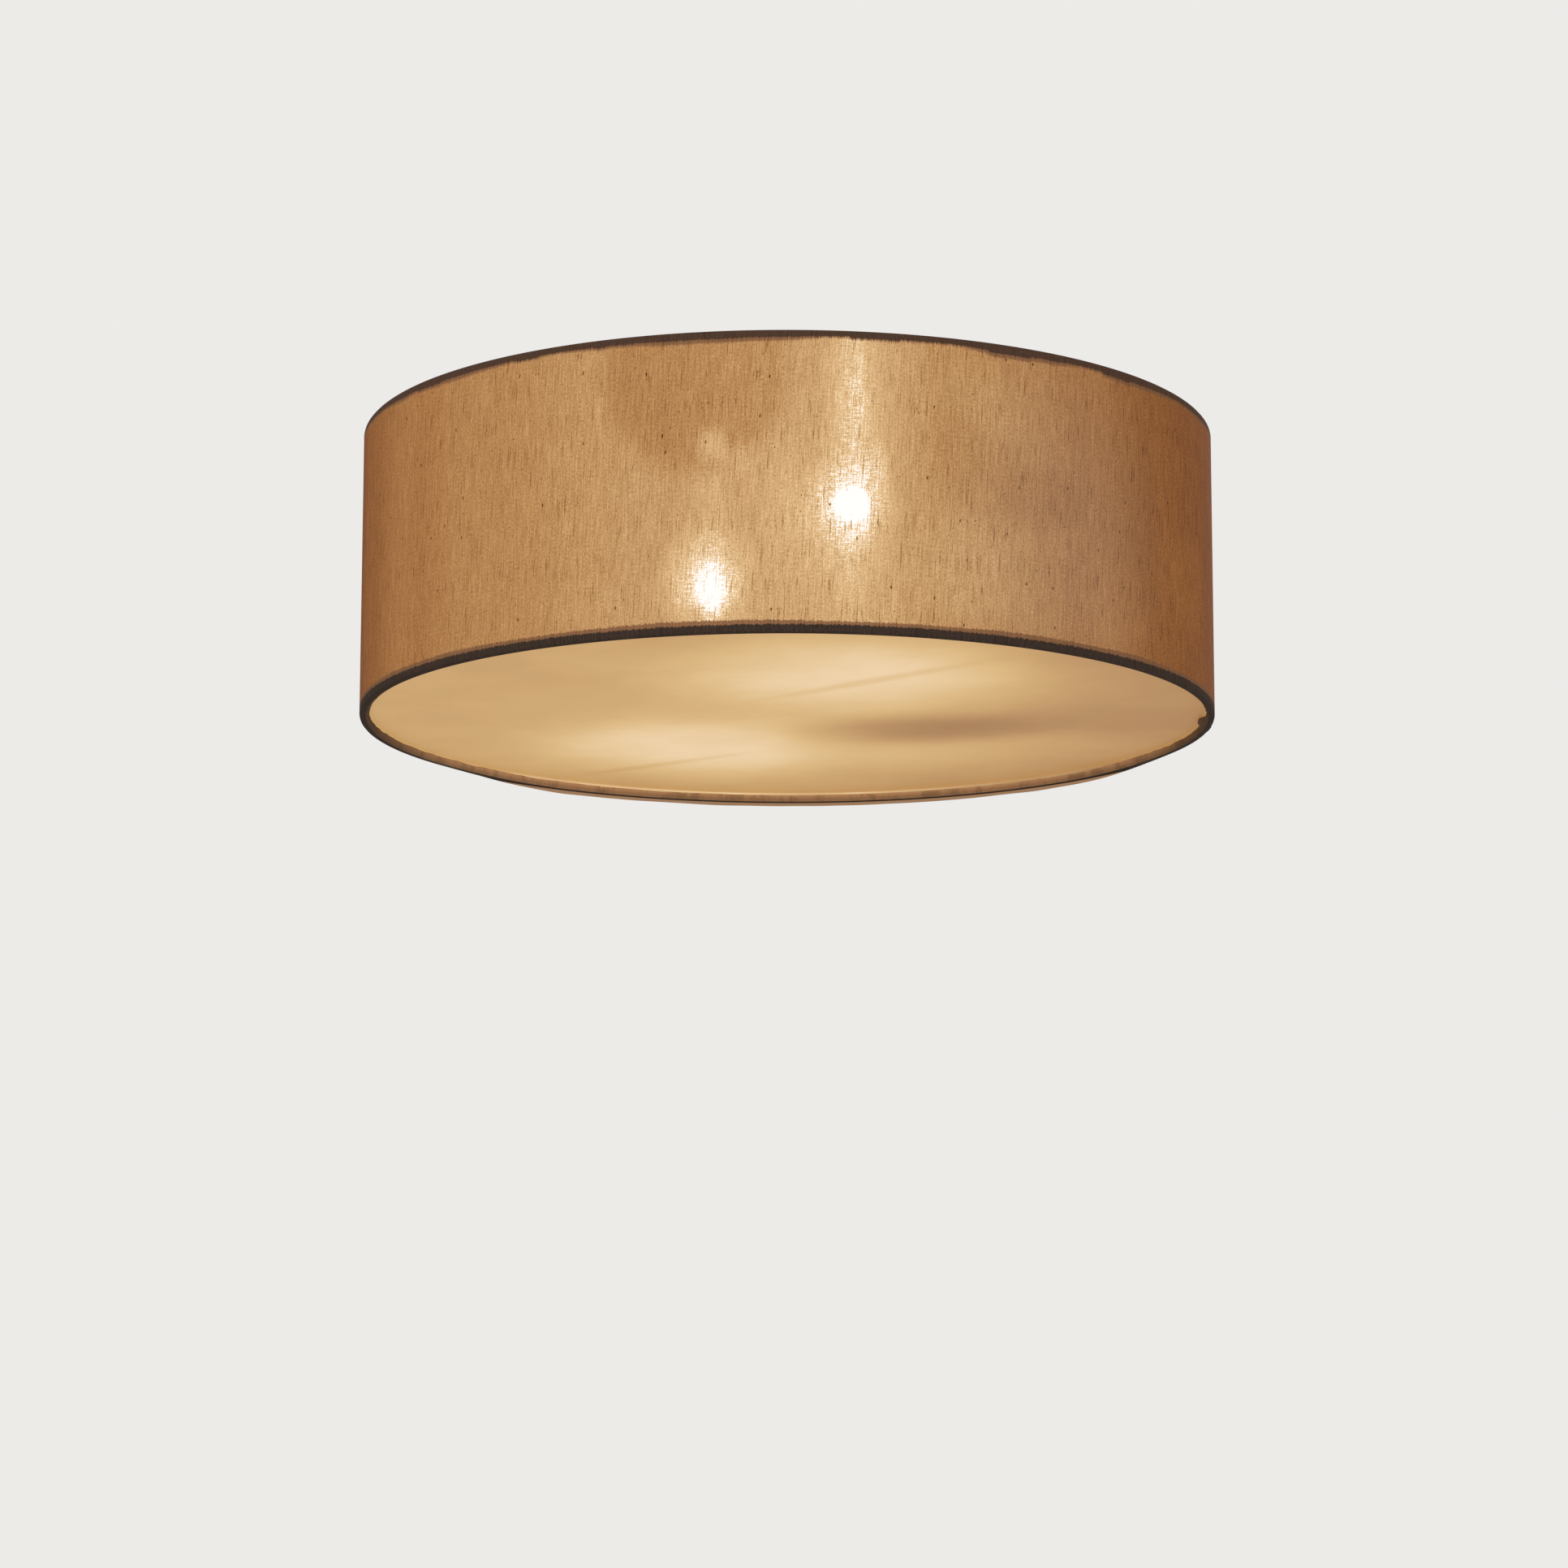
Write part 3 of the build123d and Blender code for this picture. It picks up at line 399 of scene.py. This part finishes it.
def scaled(tree, colour, amount):
    """A colour times a number."""
    made = node(tree, "VectorMath", {0: colour, "Scale": amount}, operation="SCALE")
    return made.outputs[0]


def mixed(tree, share, below, above):
    """Colour ABOVE laid over colour BELOW, by a share from 0 to 1."""
    made = node(tree, "Mix", {0: share, 6: below, 7: above}, data_type="RGBA")
    return made.outputs[2]


fabric, tree, shader = finish(
    "taupe_fabric", Roughness=0.95, Specular_IOR_Level=0.05, Emission_Strength=1.0
)
here = place_on_piece(tree)
cloth_here = node(tree, "Group", {"Place": here}, node_tree=unrolled).outputs[0]
weave = node(tree, "Group", {"Cloth": cloth_here}, node_tree=slub).outputs
level = node(tree, "Group", {"Place": here}, node_tree=wall_light).outputs["Light"]
x, y, z, reach = round_axis(tree, here)

# more light from behind shows more of the weave
thread_show = fade(tree, level, 0.55, 1.0, 0.56, 0.7)
cross_show = fade(tree, level, 0.5, 0.9, 0.14, 0.52)
texture = sums(tree, "MULTIPLY", weave["Threads"], thread_show)
texture = sums(tree, "MULTIPLY_ADD", weave["Cross"], cross_show, texture)
level = sums(tree, "MULTIPLY_ADD", texture, level, level)
level = sums(tree, "MULTIPLY", level, fade(tree, weave["Nubs"], 0.0, 1.0, 1.0, 0.5))

# both hems: the ring wire and the folded cloth stop the light. The folded-in edges are cut
# unevenly, and past them one more thickness of cloth dims the light for a few millimetres.
from_bottom = sums(tree, "SUBTRACT", z, rim_bottom)
from_top = sums(tree, "SUBTRACT", rim_top, z)
wavy = strands(tree, cloth_here, 13, 0.5, 1.0)
steps = strands(tree, cloth_here, 31, 0.5, 0.0)
fringe = strands(tree, cloth_here, 1500, 60, 1.0)
frayed = fade(tree, fringe, 0.25, 0.75, -0.0003, 0.0003)


def hem(height, edge, soft):
    """1 nearer the rim than EDGE and 0 past it, over SOFT metres either side, frayed."""
    over = sums(tree, "SUBTRACT", sums(tree, "SUBTRACT", height, edge), frayed)
    return fade(tree, over, -soft, soft, 1.0, 0.0)


crisp = 0.0003
bottom_edge = 0.0036
top_edge = fade(tree, wavy, 0.32, 0.68, 0.0029, 0.0039)
top_edge = sums(tree, "ADD", top_edge, fade(tree, steps, 0.60, 0.64, 0.0, 0.0007))
top_hem = hem(from_top, top_edge, crisp)
top_second = sums(tree, "ADD", top_edge, fade(tree, wavy, 0.40, 0.60, 0.0007, 0.0017))
bottom_hem = hem(from_bottom, bottom_edge, crisp)
second_hem = hem(from_bottom, fade(tree, wavy, 0.3, 0.7, 0.0051, 0.0057), crisp)
second_hem = sums(tree, "MAXIMUM", second_hem, hem(from_top, top_second, 0.0009))
hems = sums(tree, "MAXIMUM", top_hem, bottom_hem)
# painted shade: the glow is dimmer where the cloth's ends overlap
seam_angle = sums(tree, "ARCTAN2", y, x)
seam_line = 0.002
seam = sums(
    tree,
    "MULTIPLY",
    fade(tree, seam_angle, seam_from - seam_line, seam_from + seam_line),
    fade(tree, seam_angle, seam_to - seam_line, seam_to + seam_line, 1.0, 0.0),
)
level = sums(tree, "MULTIPLY", level, fade(tree, seam, 0.0, 1.0, 1.0, 0.72))

glow = ramp(
    tree,
    level,
    [
        (0.10, (0.0, 0.0, 0.0)),
        (0.22, (0.085, 0.020, 0.003)),
        (0.30, (0.165, 0.061, 0.011)),
        (0.40, (0.265, 0.118, 0.035)),
        (0.50, (0.365, 0.200, 0.072)),
        (0.60, (0.475, 0.300, 0.133)),
        (0.75, (0.625, 0.43, 0.215)),
        (0.90, (0.81, 0.65, 0.41)),
        (0.96, (0.87, 0.80, 0.66)),
        (1.00, (0.93, 0.94, 0.94)),
    ],
)
# painted light: a cooler tint on the right; painted shade where the hem doubles the cloth
painted_cool_tint = scaled(tree, (0.0, 0.022, 0.030), wall_patch(tree, here, -53, 52, (100, 130), 1.0))
glow = node(tree, "VectorMath", {0: glow, 1: painted_cool_tint}, operation="ADD").outputs[0]
glow = mixed(tree, second_hem, glow, scaled(tree, (0.23, 0.115, 0.055), level))
hem_light = scaled(tree, (0.03, 0.010, 0.004), fade(tree, z, rim_bottom, rim_top))
outer_glow = mixed(tree, hems, glow, hem_light)

# inside the bottom rim the turned-in cloth catches light from the diffuser, most of it
# behind, and less in its creases
creases = strands(tree, cloth_here, 110, 60, 3.0, 0.65)
inner_level = sums(
    tree,
    "MULTIPLY",
    fade(tree, reach, 0.1968, 0.1972, 1.0, 0.03),
    fade(tree, creases, 0.32, 0.6, 0.74, 1.06),
)
for share in (
    fade(tree, from_bottom, -0.0006, 0.0028, 0.6, 1.1),
    fade(tree, y, 0.0, 0.175, 0.16, 1.0),
):
    inner_level = sums(tree, "MULTIPLY", inner_level, share)
inner_light = scaled(tree, (0.34, 0.165, 0.070), inner_level)
inside = fade(tree, reach, 0.1972, 0.1976, 1.0, 0.0)
glow = mixed(tree, inside, outer_glow, inner_light)
# the slack fold that hangs below the rim glows evenly
loose_edge = fade(tree, from_bottom, -0.0010, -0.0014)
glow = mixed(tree, loose_edge, glow, (0.30, 0.17, 0.09, 1))
tree.links.new(glow, shader.inputs["Emission Color"])

cloth_tone = sums(tree, "MULTIPLY_ADD", weave["Threads"], 0.9, 1.0)
cloth_tone = sums(
    tree, "MULTIPLY", cloth_tone, fade(tree, weave["Nubs"], 0.0, 1.0, 1.0, 0.55)
)
taupe = (0.135, 0.06, 0.027, 1)
# painted shade: the cloth's colour is darker along both hems, where wire and folded cloth keep
# out the light
shaded_hem_taupe = (0.050, 0.033, 0.024, 1)
cloth_colour = scaled(tree, mixed(tree, hems, taupe, shaded_hem_taupe), cloth_tone)
tree.links.new(cloth_colour, shader.inputs["Base Color"])
weave_height = sums(tree, "MULTIPLY_ADD", weave["Cross"], 0.5, weave["Threads"])
bump = node(tree, "Bump", {"Strength": 0.35, "Distance": 0.0002, "Height": weave_height})
tree.links.new(bump.outputs[0], shader.inputs["Normal"])

shade_cover.data.materials.append(fabric)
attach(shade_cover, "fixture")
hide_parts("shade_fabric")

# ------------------------------------------------------------ shade lining
# Thin stiff film behind the cloth, rolled to a drum. It is matt, and the lamps light it
# from inside, so it shows the same light as the cloth, smoother and paler.


def dress(name, material):
    """Gives a CAD piece its finish."""
    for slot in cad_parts[name].material_slots:
        slot.material = material


film, tree, shader = finish("lining_film", Roughness=0.55, Emission_Strength=1.0)
here = place_on_piece(tree)
level = node(tree, "Group", {"Place": here}, node_tree=wall_light).outputs["Light"]
mottle = strands(tree, here, 30, 30, 3.0, dimensions="3D")
level = sums(tree, "MULTIPLY", level, fade(tree, mottle, 0.3, 0.7, 0.95, 1.08))
glow = ramp(
    tree,
    level,
    [
        (0.12, (0.10, 0.055, 0.02)),
        (0.30, (0.24, 0.15, 0.07)),
        (0.60, (0.52, 0.37, 0.20)),
        (1.00, (0.85, 0.75, 0.58)),
    ],
)
tree.links.new(glow, shader.inputs["Emission Color"])
paper = ramp(tree, mottle, [(0.3, (0.40, 0.33, 0.24)), (0.7, (0.44, 0.37, 0.27))])
tree.links.new(paper, shader.inputs["Base Color"])
dress("shade_lining", film)

# ------------------------------------------------------------ diffuser
# Flat round plate of opal plastic, loose on the bottom ring. Both lamps shine on it from
# above: two soft bright patches, the blurred shadow of a lampholder and of two arms.

opal, tree, shader = finish(
    "opal_plate", Roughness=0.5, Specular_IOR_Level=0.15, Emission_Strength=1.0
)
here = place_on_piece(tree)
x, y, z, reach = round_axis(tree, here)
plate_height = -0.157


def plate_patch(x, y, size, strength, core=0.0, turn=0.0):
    """A patch on the plate; its place and size are shares of the shade's radius."""
    centre = (x * shade_radius, y * shade_radius, plate_height)
    extent = (size[0] * shade_radius, size[1] * shade_radius, patch_depth)
    return patch(tree, here, centre, extent, (0, 0, radians(turn)), strength, core)


# painted light: the plate's glow is brighter on the left
level = sums(tree, "MULTIPLY_ADD", x, -0.33, 0.58)
# place, size, light added, share of the size at full, degrees turned
for details in (
    (0.0, 0.0, (1.05, 1.15), 0.09),
    (0.17, -0.46, (0.70, 0.64), 0.24, 0.05),  # under the front lamp
    (0.16, -0.85, (0.6, 0.35), 0.08),
    (-0.25, 0.38, (0.62, 0.55), 0.21, 0.08),  # under the back lamp
    (-0.05, 0.62, (0.55, 0.4), 0.07),
    (0.34, 0.50, (0.38, 0.34), 0.09),
    (0.63, 0.38, (0.36, 0.40), 0.05),
    (0.05, 0.0, (0.35, 0.2), 0.03),
    (0.0, 0.85, (0.6, 0.25), 0.03),
    (0.32, -0.50, (0.35, 0.35), 0.035),
    (-0.38, -0.68, (0.35, 0.3), 0.035),
    (0.33, 0.15, (0.46, 0.27), -0.155, 0.0, -10),  # shadow of the lampholders
    (0.70, 0.05, (0.62, 0.27), -0.045, 0.0, -14),
    (-0.30, 0.595, (0.40, 0.035), -0.06, 0.1, -35),  # fine shadows of two arms
    (0.19, -0.40, (0.48, 0.045), -0.07, 0.1, -41),
):
    level = sums(tree, "ADD", level, plate_patch(*details))
cloudy = strands(tree, here, 22, 22, 3.0)
level = sums(tree, "MULTIPLY", level, fade(tree, cloudy, 0.25, 0.75, 0.985, 1.015))
# painted highlight: a narrow brighter line at the edge
level = sums(tree, "ADD", level, fade(tree, reach, 0.1945, 0.1956, 0.0, 0.05))
glow = ramp(
    tree,
    level,
    [
        (0.40, (0.20, 0.07, 0.015)),
        (0.50, (0.29, 0.135, 0.042)),
        (0.58, (0.37, 0.195, 0.067)),
        (0.66, (0.45, 0.265, 0.095)),
        (0.75, (0.54, 0.35, 0.145)),
        (0.82, (0.61, 0.43, 0.22)),
        (0.90, (0.69, 0.52, 0.33)),
    ],
)
tree.links.new(glow, shader.inputs["Emission Color"])
milk = ramp(tree, cloudy, [(0.3, (0.21, 0.14, 0.065)), (0.7, (0.225, 0.15, 0.07))])
tree.links.new(milk, shader.inputs["Base Color"])
dress("diffuser", opal)

# ------------------------------------------------------------ rings, spider and canopy
# Steel wire rings, three wire arms welded to a round hub, and a spun canopy, all powder
# coated off-white. Handling has left a few dull scuffs on the coat.

wear, given, filled = node_group(
    "handled_surface",
    {"Place": "Vector", "Scale": "Float"},
    {"Cloud": "Float", "Grain": "Float", "Scuffs": "Float"},
)


def wear_noise(place, finer, detail):
    """Noise that is FINER times as fine as the group's own Scale."""
    scale = sums(wear, "MULTIPLY", given["Scale"], finer)
    made = node(wear, "TexNoise", {"Vector": place, "Scale": scale, "Detail": detail})
    return made.outputs[0]


scuff_place = node(
    wear,
    "Mapping",
    {"Vector": given["Place"], "Rotation": (0.4, 0.7, 0.3), "Scale": (1, 9, 3)},
).outputs[0]
wear.links.new(wear_noise(given["Place"], 1.0, 4.0), filled["Cloud"])
wear.links.new(wear_noise(given["Place"], 14.0, 2.0), filled["Grain"])
scuffs = fade(wear, wear_noise(scuff_place, 4.0, 1.0), 0.66, 0.74)
wear.links.new(scuffs, filled["Scuffs"])


def surface(name, colour, roughness, scale, bump, spread, **constants):
    """A handled finish in one colour: clouds with SCALE features to a metre that change its
    tone by SPREAD, a fine grain with a height of BUMP, and a few scuffs."""
    material, tree, shader = finish(name, **constants)
    marks = node(tree, "Group", {"Place": place_on_piece(tree), "Scale": scale}, node_tree=wear)
    cloud, grain, scuffs = marks.outputs
    dark = tuple(c * (1 - spread) for c in colour)
    light = tuple(min(1.0, c * (1 + spread)) for c in colour)
    tree.links.new(ramp(tree, cloud, [(0.3, dark), (0.7, light)]), shader.inputs["Base Color"])
    rough = fade(tree, cloud, 0.3, 0.7, roughness - 0.05, roughness + 0.06)
    rough = sums(tree, "MULTIPLY_ADD", scuffs, 0.1, rough)
    tree.links.new(rough, shader.inputs["Roughness"])
    height = node(tree, "Bump", {"Strength": bump, "Distance": 0.0002, "Height": grain})
    tree.links.new(height.outputs[0], shader.inputs["Normal"])
    return material


white_coat = surface("spider_paint", (0.80, 0.78, 0.73), 0.38, 55.0, 0.15, 0.04)
for name in ("top_ring", "bottom_ring", "spider_hub", "spider_arms"):
    dress(name, white_coat)
canopy_coat = surface("canopy_paint", (0.82, 0.81, 0.78), 0.34, 40.0, 0.12, 0.03)
dress("canopy", canopy_coat)

# ------------------------------------------------------------ zinc-plated steel
# Crossbar, nuts, washers, screws and the lamp bracket, pressed or turned from steel
# and zinc plated: bright grey with a faint crystalline bloom.

zinc = surface("zinc_steel", (0.56, 0.57, 0.58), 0.3, 180.0, 0.12, 0.14, Metallic=1.0)
for name in (
    "ceiling_bracket", "canopy_screws", "terminal_fixing_screws",
    "earth_screw", "tube_nuts", "tube_washers", "lamp_bracket", "holder_nuts",
):
    dress(name, zinc)

# ------------------------------------------------------------ threaded tube and nipples
# Lamp tube and nipples with a fine thread of 1 mm pitch, zinc plated like their nuts.

thread_pitch = 0.001


def waves(tree, value, length):
    """Even waves from 0 to 1 as VALUE grows, one for each LENGTH."""
    turns = sums(tree, "MULTIPLY", value, 2 * pi / length)
    return sums(tree, "MULTIPLY_ADD", sums(tree, "SINE", turns), 0.5, 0.5)


def along_axis(tree, axis):
    """How far the place on the piece lies along AXIS, a unit vector."""
    here = place_on_piece(tree)
    made = node(tree, "VectorMath", {0: here, 1: axis}, operation="DOT_PRODUCT")
    return made.outputs["Value"]


def threaded(name, axis):
    """Plated steel with a thread along AXIS, painted darker in its grooves as shade."""
    material, tree, shader = finish(name, Metallic=1.0, Roughness=0.3)
    thread = waves(tree, along_axis(tree, axis), thread_pitch)
    # painted shade: darker in the thread's grooves, lighter on its crests
    tone = ramp(tree, thread, [(0.0, (0.25, 0.25, 0.26)), (1.0, (0.60, 0.61, 0.62))])
    tree.links.new(tone, shader.inputs["Base Color"])
    height = node(tree, "Bump", {"Strength": 0.8, "Distance": 0.0004, "Height": thread})
    tree.links.new(height.outputs[0], shader.inputs["Normal"])
    return material


dress("threaded_tube", threaded("tube_thread", (0, 0, 1)))
dress("holder_nipples", threaded("nipple_thread", lamp_out))

# ------------------------------------------------------------ brass pieces
# Knurled shade nut, terminal inserts, earth tag and the lampholders' contacts and screw
# shells, in plain brass gone slightly dull.

brass = surface("contact_brass", (0.62, 0.43, 0.17), 0.28, 150.0, 0.1, 0.12, Metallic=1.0)
for name in ("shade_nut", "terminal_inserts", "earth_tag"):
    dress(name, brass)
for side in ("front", "back"):
    dress(f"holder_{side}_contact", brass)
    dress(f"holder_{side}_shell", brass)

# ------------------------------------------------------------ terminal block and wires
# Natural polyamide block on the canopy's floor, and sleeved wires: brown live, blue neutral
# and a green earth with a yellow stripe.

dress("terminal_body", surface("terminal_plastic", (0.74, 0.72, 0.66), 0.45, 90.0, 0.1, 0.04))
plated = surface("terminal_plating", (0.68, 0.68, 0.66), 0.4, 200.0, 0.08, 0.08, Metallic=0.5)
dress("terminal_screws", plated)
brown = surface("wire_brown", (0.16, 0.07, 0.035), 0.35, 120.0, 0.08, 0.08)
blue = surface("wire_blue", (0.03, 0.10, 0.40), 0.35, 120.0, 0.08, 0.08)
for name in ("wire_live", "link_live"):
    dress(name, brown)
for name in ("wire_neutral", "link_neutral"):
    dress(name, blue)

striped, tree, shader = finish("wire_green_yellow", Roughness=0.35)
here = place_on_piece(tree)
stripe = node(tree, "TexNoise", {"Vector": here, "Scale": 140.0, "Detail": 0.0}).outputs[0]
sleeve = ramp(tree, stripe, [(0.49, (0.06, 0.30, 0.05)), (0.51, (0.75, 0.62, 0.04))])
tree.links.new(sleeve, shader.inputs["Base Color"])
dress("wire_earth", striped)

# ------------------------------------------------------------ lampholders
# Black moulded cap and skirt screwed together, with shallow upright grip ribs, round a
# white steatite disc that carries the contacts.

lamp_height = -0.078
rib_count = 36
ribs_from = 0.0262  # from the shade's axis, along the lamps
ribs_to = 0.0488
rib_end = 0.0008
ribbed, tree, shader = finish("holder_plastic")
here = place_on_piece(tree)
along_lamps = node(
    tree,
    "Mapping",
    {"Vector": here, "Location": (0, 0, lamp_height), "Rotation": (0, 0, lamp_line)},
    vector_type="TEXTURE",
)
x, y, z = node(tree, "SeparateXYZ", {0: along_lamps.outputs[0]}).outputs
outward = sums(tree, "ABSOLUTE", x)
rib_band = sums(
    tree,
    "MULTIPLY",
    fade(tree, outward, ribs_from, ribs_from + rib_end),
    fade(tree, outward, ribs_to - rib_end, ribs_to, 1.0, 0.0),
)
ribs = waves(tree, sums(tree, "ARCTAN2", z, y), 2 * pi / rib_count)
ribs = sums(tree, "MULTIPLY", ribs, rib_band)
marks = node(tree, "Group", {"Place": here, "Scale": 90.0}, node_tree=wear)
cloud, grain, _ = marks.outputs
height = sums(tree, "MULTIPLY_ADD", grain, 0.06, ribs)
bump = node(tree, "Bump", {"Strength": 0.7, "Distance": 0.0006, "Height": height})
tree.links.new(bump.outputs[0], shader.inputs["Normal"])
tone = ramp(tree, cloud, [(0.3, (0.020, 0.019, 0.018)), (0.7, (0.032, 0.030, 0.028))])
tree.links.new(tone, shader.inputs["Base Color"])
tree.links.new(fade(tree, cloud, 0.3, 0.7, 0.36, 0.48), shader.inputs["Roughness"])
steatite = surface("carrier_steatite", (0.74, 0.70, 0.62), 0.6, 110.0, 0.2, 0.05)
for side in ("front", "back"):
    dress(f"holder_{side}_cap", ribbed)
    dress(f"holder_{side}_body", ribbed)
    dress(f"holder_{side}_carrier", steatite)

# ------------------------------------------------------------ bulbs
# Clear globe bulbs with an aluminium screw cap, a black glass insulator and a soldered end
# contact. Inside, a small capsule on two nickel wires holds the glowing filament.

cap_metal = surface("cap_metal", (0.72, 0.72, 0.71), 0.32, 160.0, 0.1, 0.08, Metallic=1.0)
solder = surface("solder", (0.42, 0.42, 0.41), 0.45, 300.0, 0.3, 0.15, Metallic=1.0)
nickel = surface("support_nickel", (0.50, 0.48, 0.45), 0.3, 300.0, 0.1, 0.1, Metallic=1.0)
black_glass = surface("black_glass", (0.012, 0.012, 0.015), 0.12, 120.0, 0.02, 0.2)
clear_glass, tree, shader = finish(
    "clear_glass", Base_Color=(0.98, 0.98, 0.96, 1), Transmission_Weight=1.0, IOR=1.45
)
here = place_on_piece(tree)
marks = node(tree, "Group", {"Place": here, "Scale": 70.0}, node_tree=wear)
haze = fade(tree, marks.outputs["Cloud"], 0.4, 0.8, 0.0, 0.05)
tree.links.new(haze, shader.inputs["Roughness"])

hot_wire, tree, shader = finish(
    "filament_wire", Base_Color=(1.0, 0.8, 0.5, 1), Roughness=0.5, Emission_Strength=12.0
)
coil_pitch = 0.0008
coil = waves(tree, along_axis(tree, lamp_out), coil_pitch)
hot = ramp(tree, coil, [(0.0, (1.0, 0.55, 0.22)), (1.0, (1.0, 0.82, 0.55))])
tree.links.new(hot, shader.inputs["Emission Color"])

bulb_finishes = {
    "cap": cap_metal, "tip": solder, "insulator": black_glass, "supports": nickel,
    "glass": clear_glass, "stem": clear_glass, "capsule": clear_glass, "filament": hot_wire,
}
for side in ("front", "back"):
    for piece, material in bulb_finishes.items():
        dress(f"bulb_{side}_{piece}", material)

# ------------------------------------------------------------ floor, background and light
# Plain pale floor far below, a pale background, soft even light from all round, and three
# large soft lamps.

floor_size = 40
floor_level = -2.4
bpy.ops.object.select_all(action="DESELECT")
bpy.ops.mesh.primitive_plane_add(size=floor_size, location=(0, 0, floor_level))
floor = bpy.context.object
floor.name = "studio_floor"
bpy.ops.object.transform_apply()
floor_paint, tree, shader = finish(
    "studio_floor", Base_Color=(0.82, 0.81, 0.79, 1), Roughness=0.9, Specular_IOR_Level=0.1,
    Emission_Color=(0.30, 0.297, 0.29, 1),
)
seen = node(tree, "LightPath").outputs["Is Camera Ray"]
tree.links.new(seen, shader.inputs["Emission Strength"])
floor.data.materials.append(floor_paint)

world = bpy.data.worlds.new("studio")
bpy.context.scene.world = world
world.use_nodes = True
tree = world.node_tree
tree.nodes.clear()
paths = node(tree, "LightPath").outputs
seen = sums(tree, "MAXIMUM", paths["Is Camera Ray"], paths["Is Glossy Ray"])
seen = sums(tree, "MAXIMUM", seen, paths["Is Transmission Ray"])
room = node(tree, "Background", {"Color": (1.0, 1.0, 1.0, 1), "Strength": 0.62})
backdrop = node(tree, "Background", {"Color": (0.84, 0.83, 0.81, 1), "Strength": 1.0})
either = node(tree, "MixShader", {0: seen, 1: room.outputs[0], 2: backdrop.outputs[0]})
node(tree, "OutputWorld", {"Surface": either.outputs[0]})

lit_point = Vector((0, 0, -0.08))
for name, place, size, power in (
    ("key", (-1.4, -1.9, 0.9), 1.2, 22),
    ("fill", (1.7, -1.2, -0.9), 1.4, 10),
    ("back", (0.6, 1.9, 0.8), 1.4, 14),
):
    soft_box = bpy.data.lights.new(name, "AREA")
    soft_box.shape = "DISK"
    soft_box.size = size
    soft_box.energy = power
    lamp = bpy.data.objects.new(name, soft_box)
    lamp.location = place
    aim = lit_point - Vector(place)
    lamp.rotation_euler = aim.to_track_quat("-Z", "Y").to_euler()
    bpy.context.collection.objects.link(lamp)

# ------------------------------------------------------------ camera
# The photograph's own view: from the front, well below the light, looking up at it.

lens = bpy.data.cameras.new("camera")
lens.sensor_width = 36
lens.lens = 116.454
camera = bpy.data.objects.new("camera", lens)
bpy.context.collection.objects.link(camera)
camera.location = (0, -2.33328, -0.63084)
pan, look_up, roll = 0.0006, 0.1864, 0.0013  # fitted to both rims, as the place is
aim = (
    Matrix.Rotation(pan, 3, "Z")
    @ Matrix.Rotation(pi / 2 + look_up, 3, "X")
    @ Matrix.Rotation(roll, 3, "Z")
)
camera.rotation_euler = aim.to_euler()
bpy.context.scene.camera = camera
bpy.context.scene.view_settings.view_transform = "Standard"
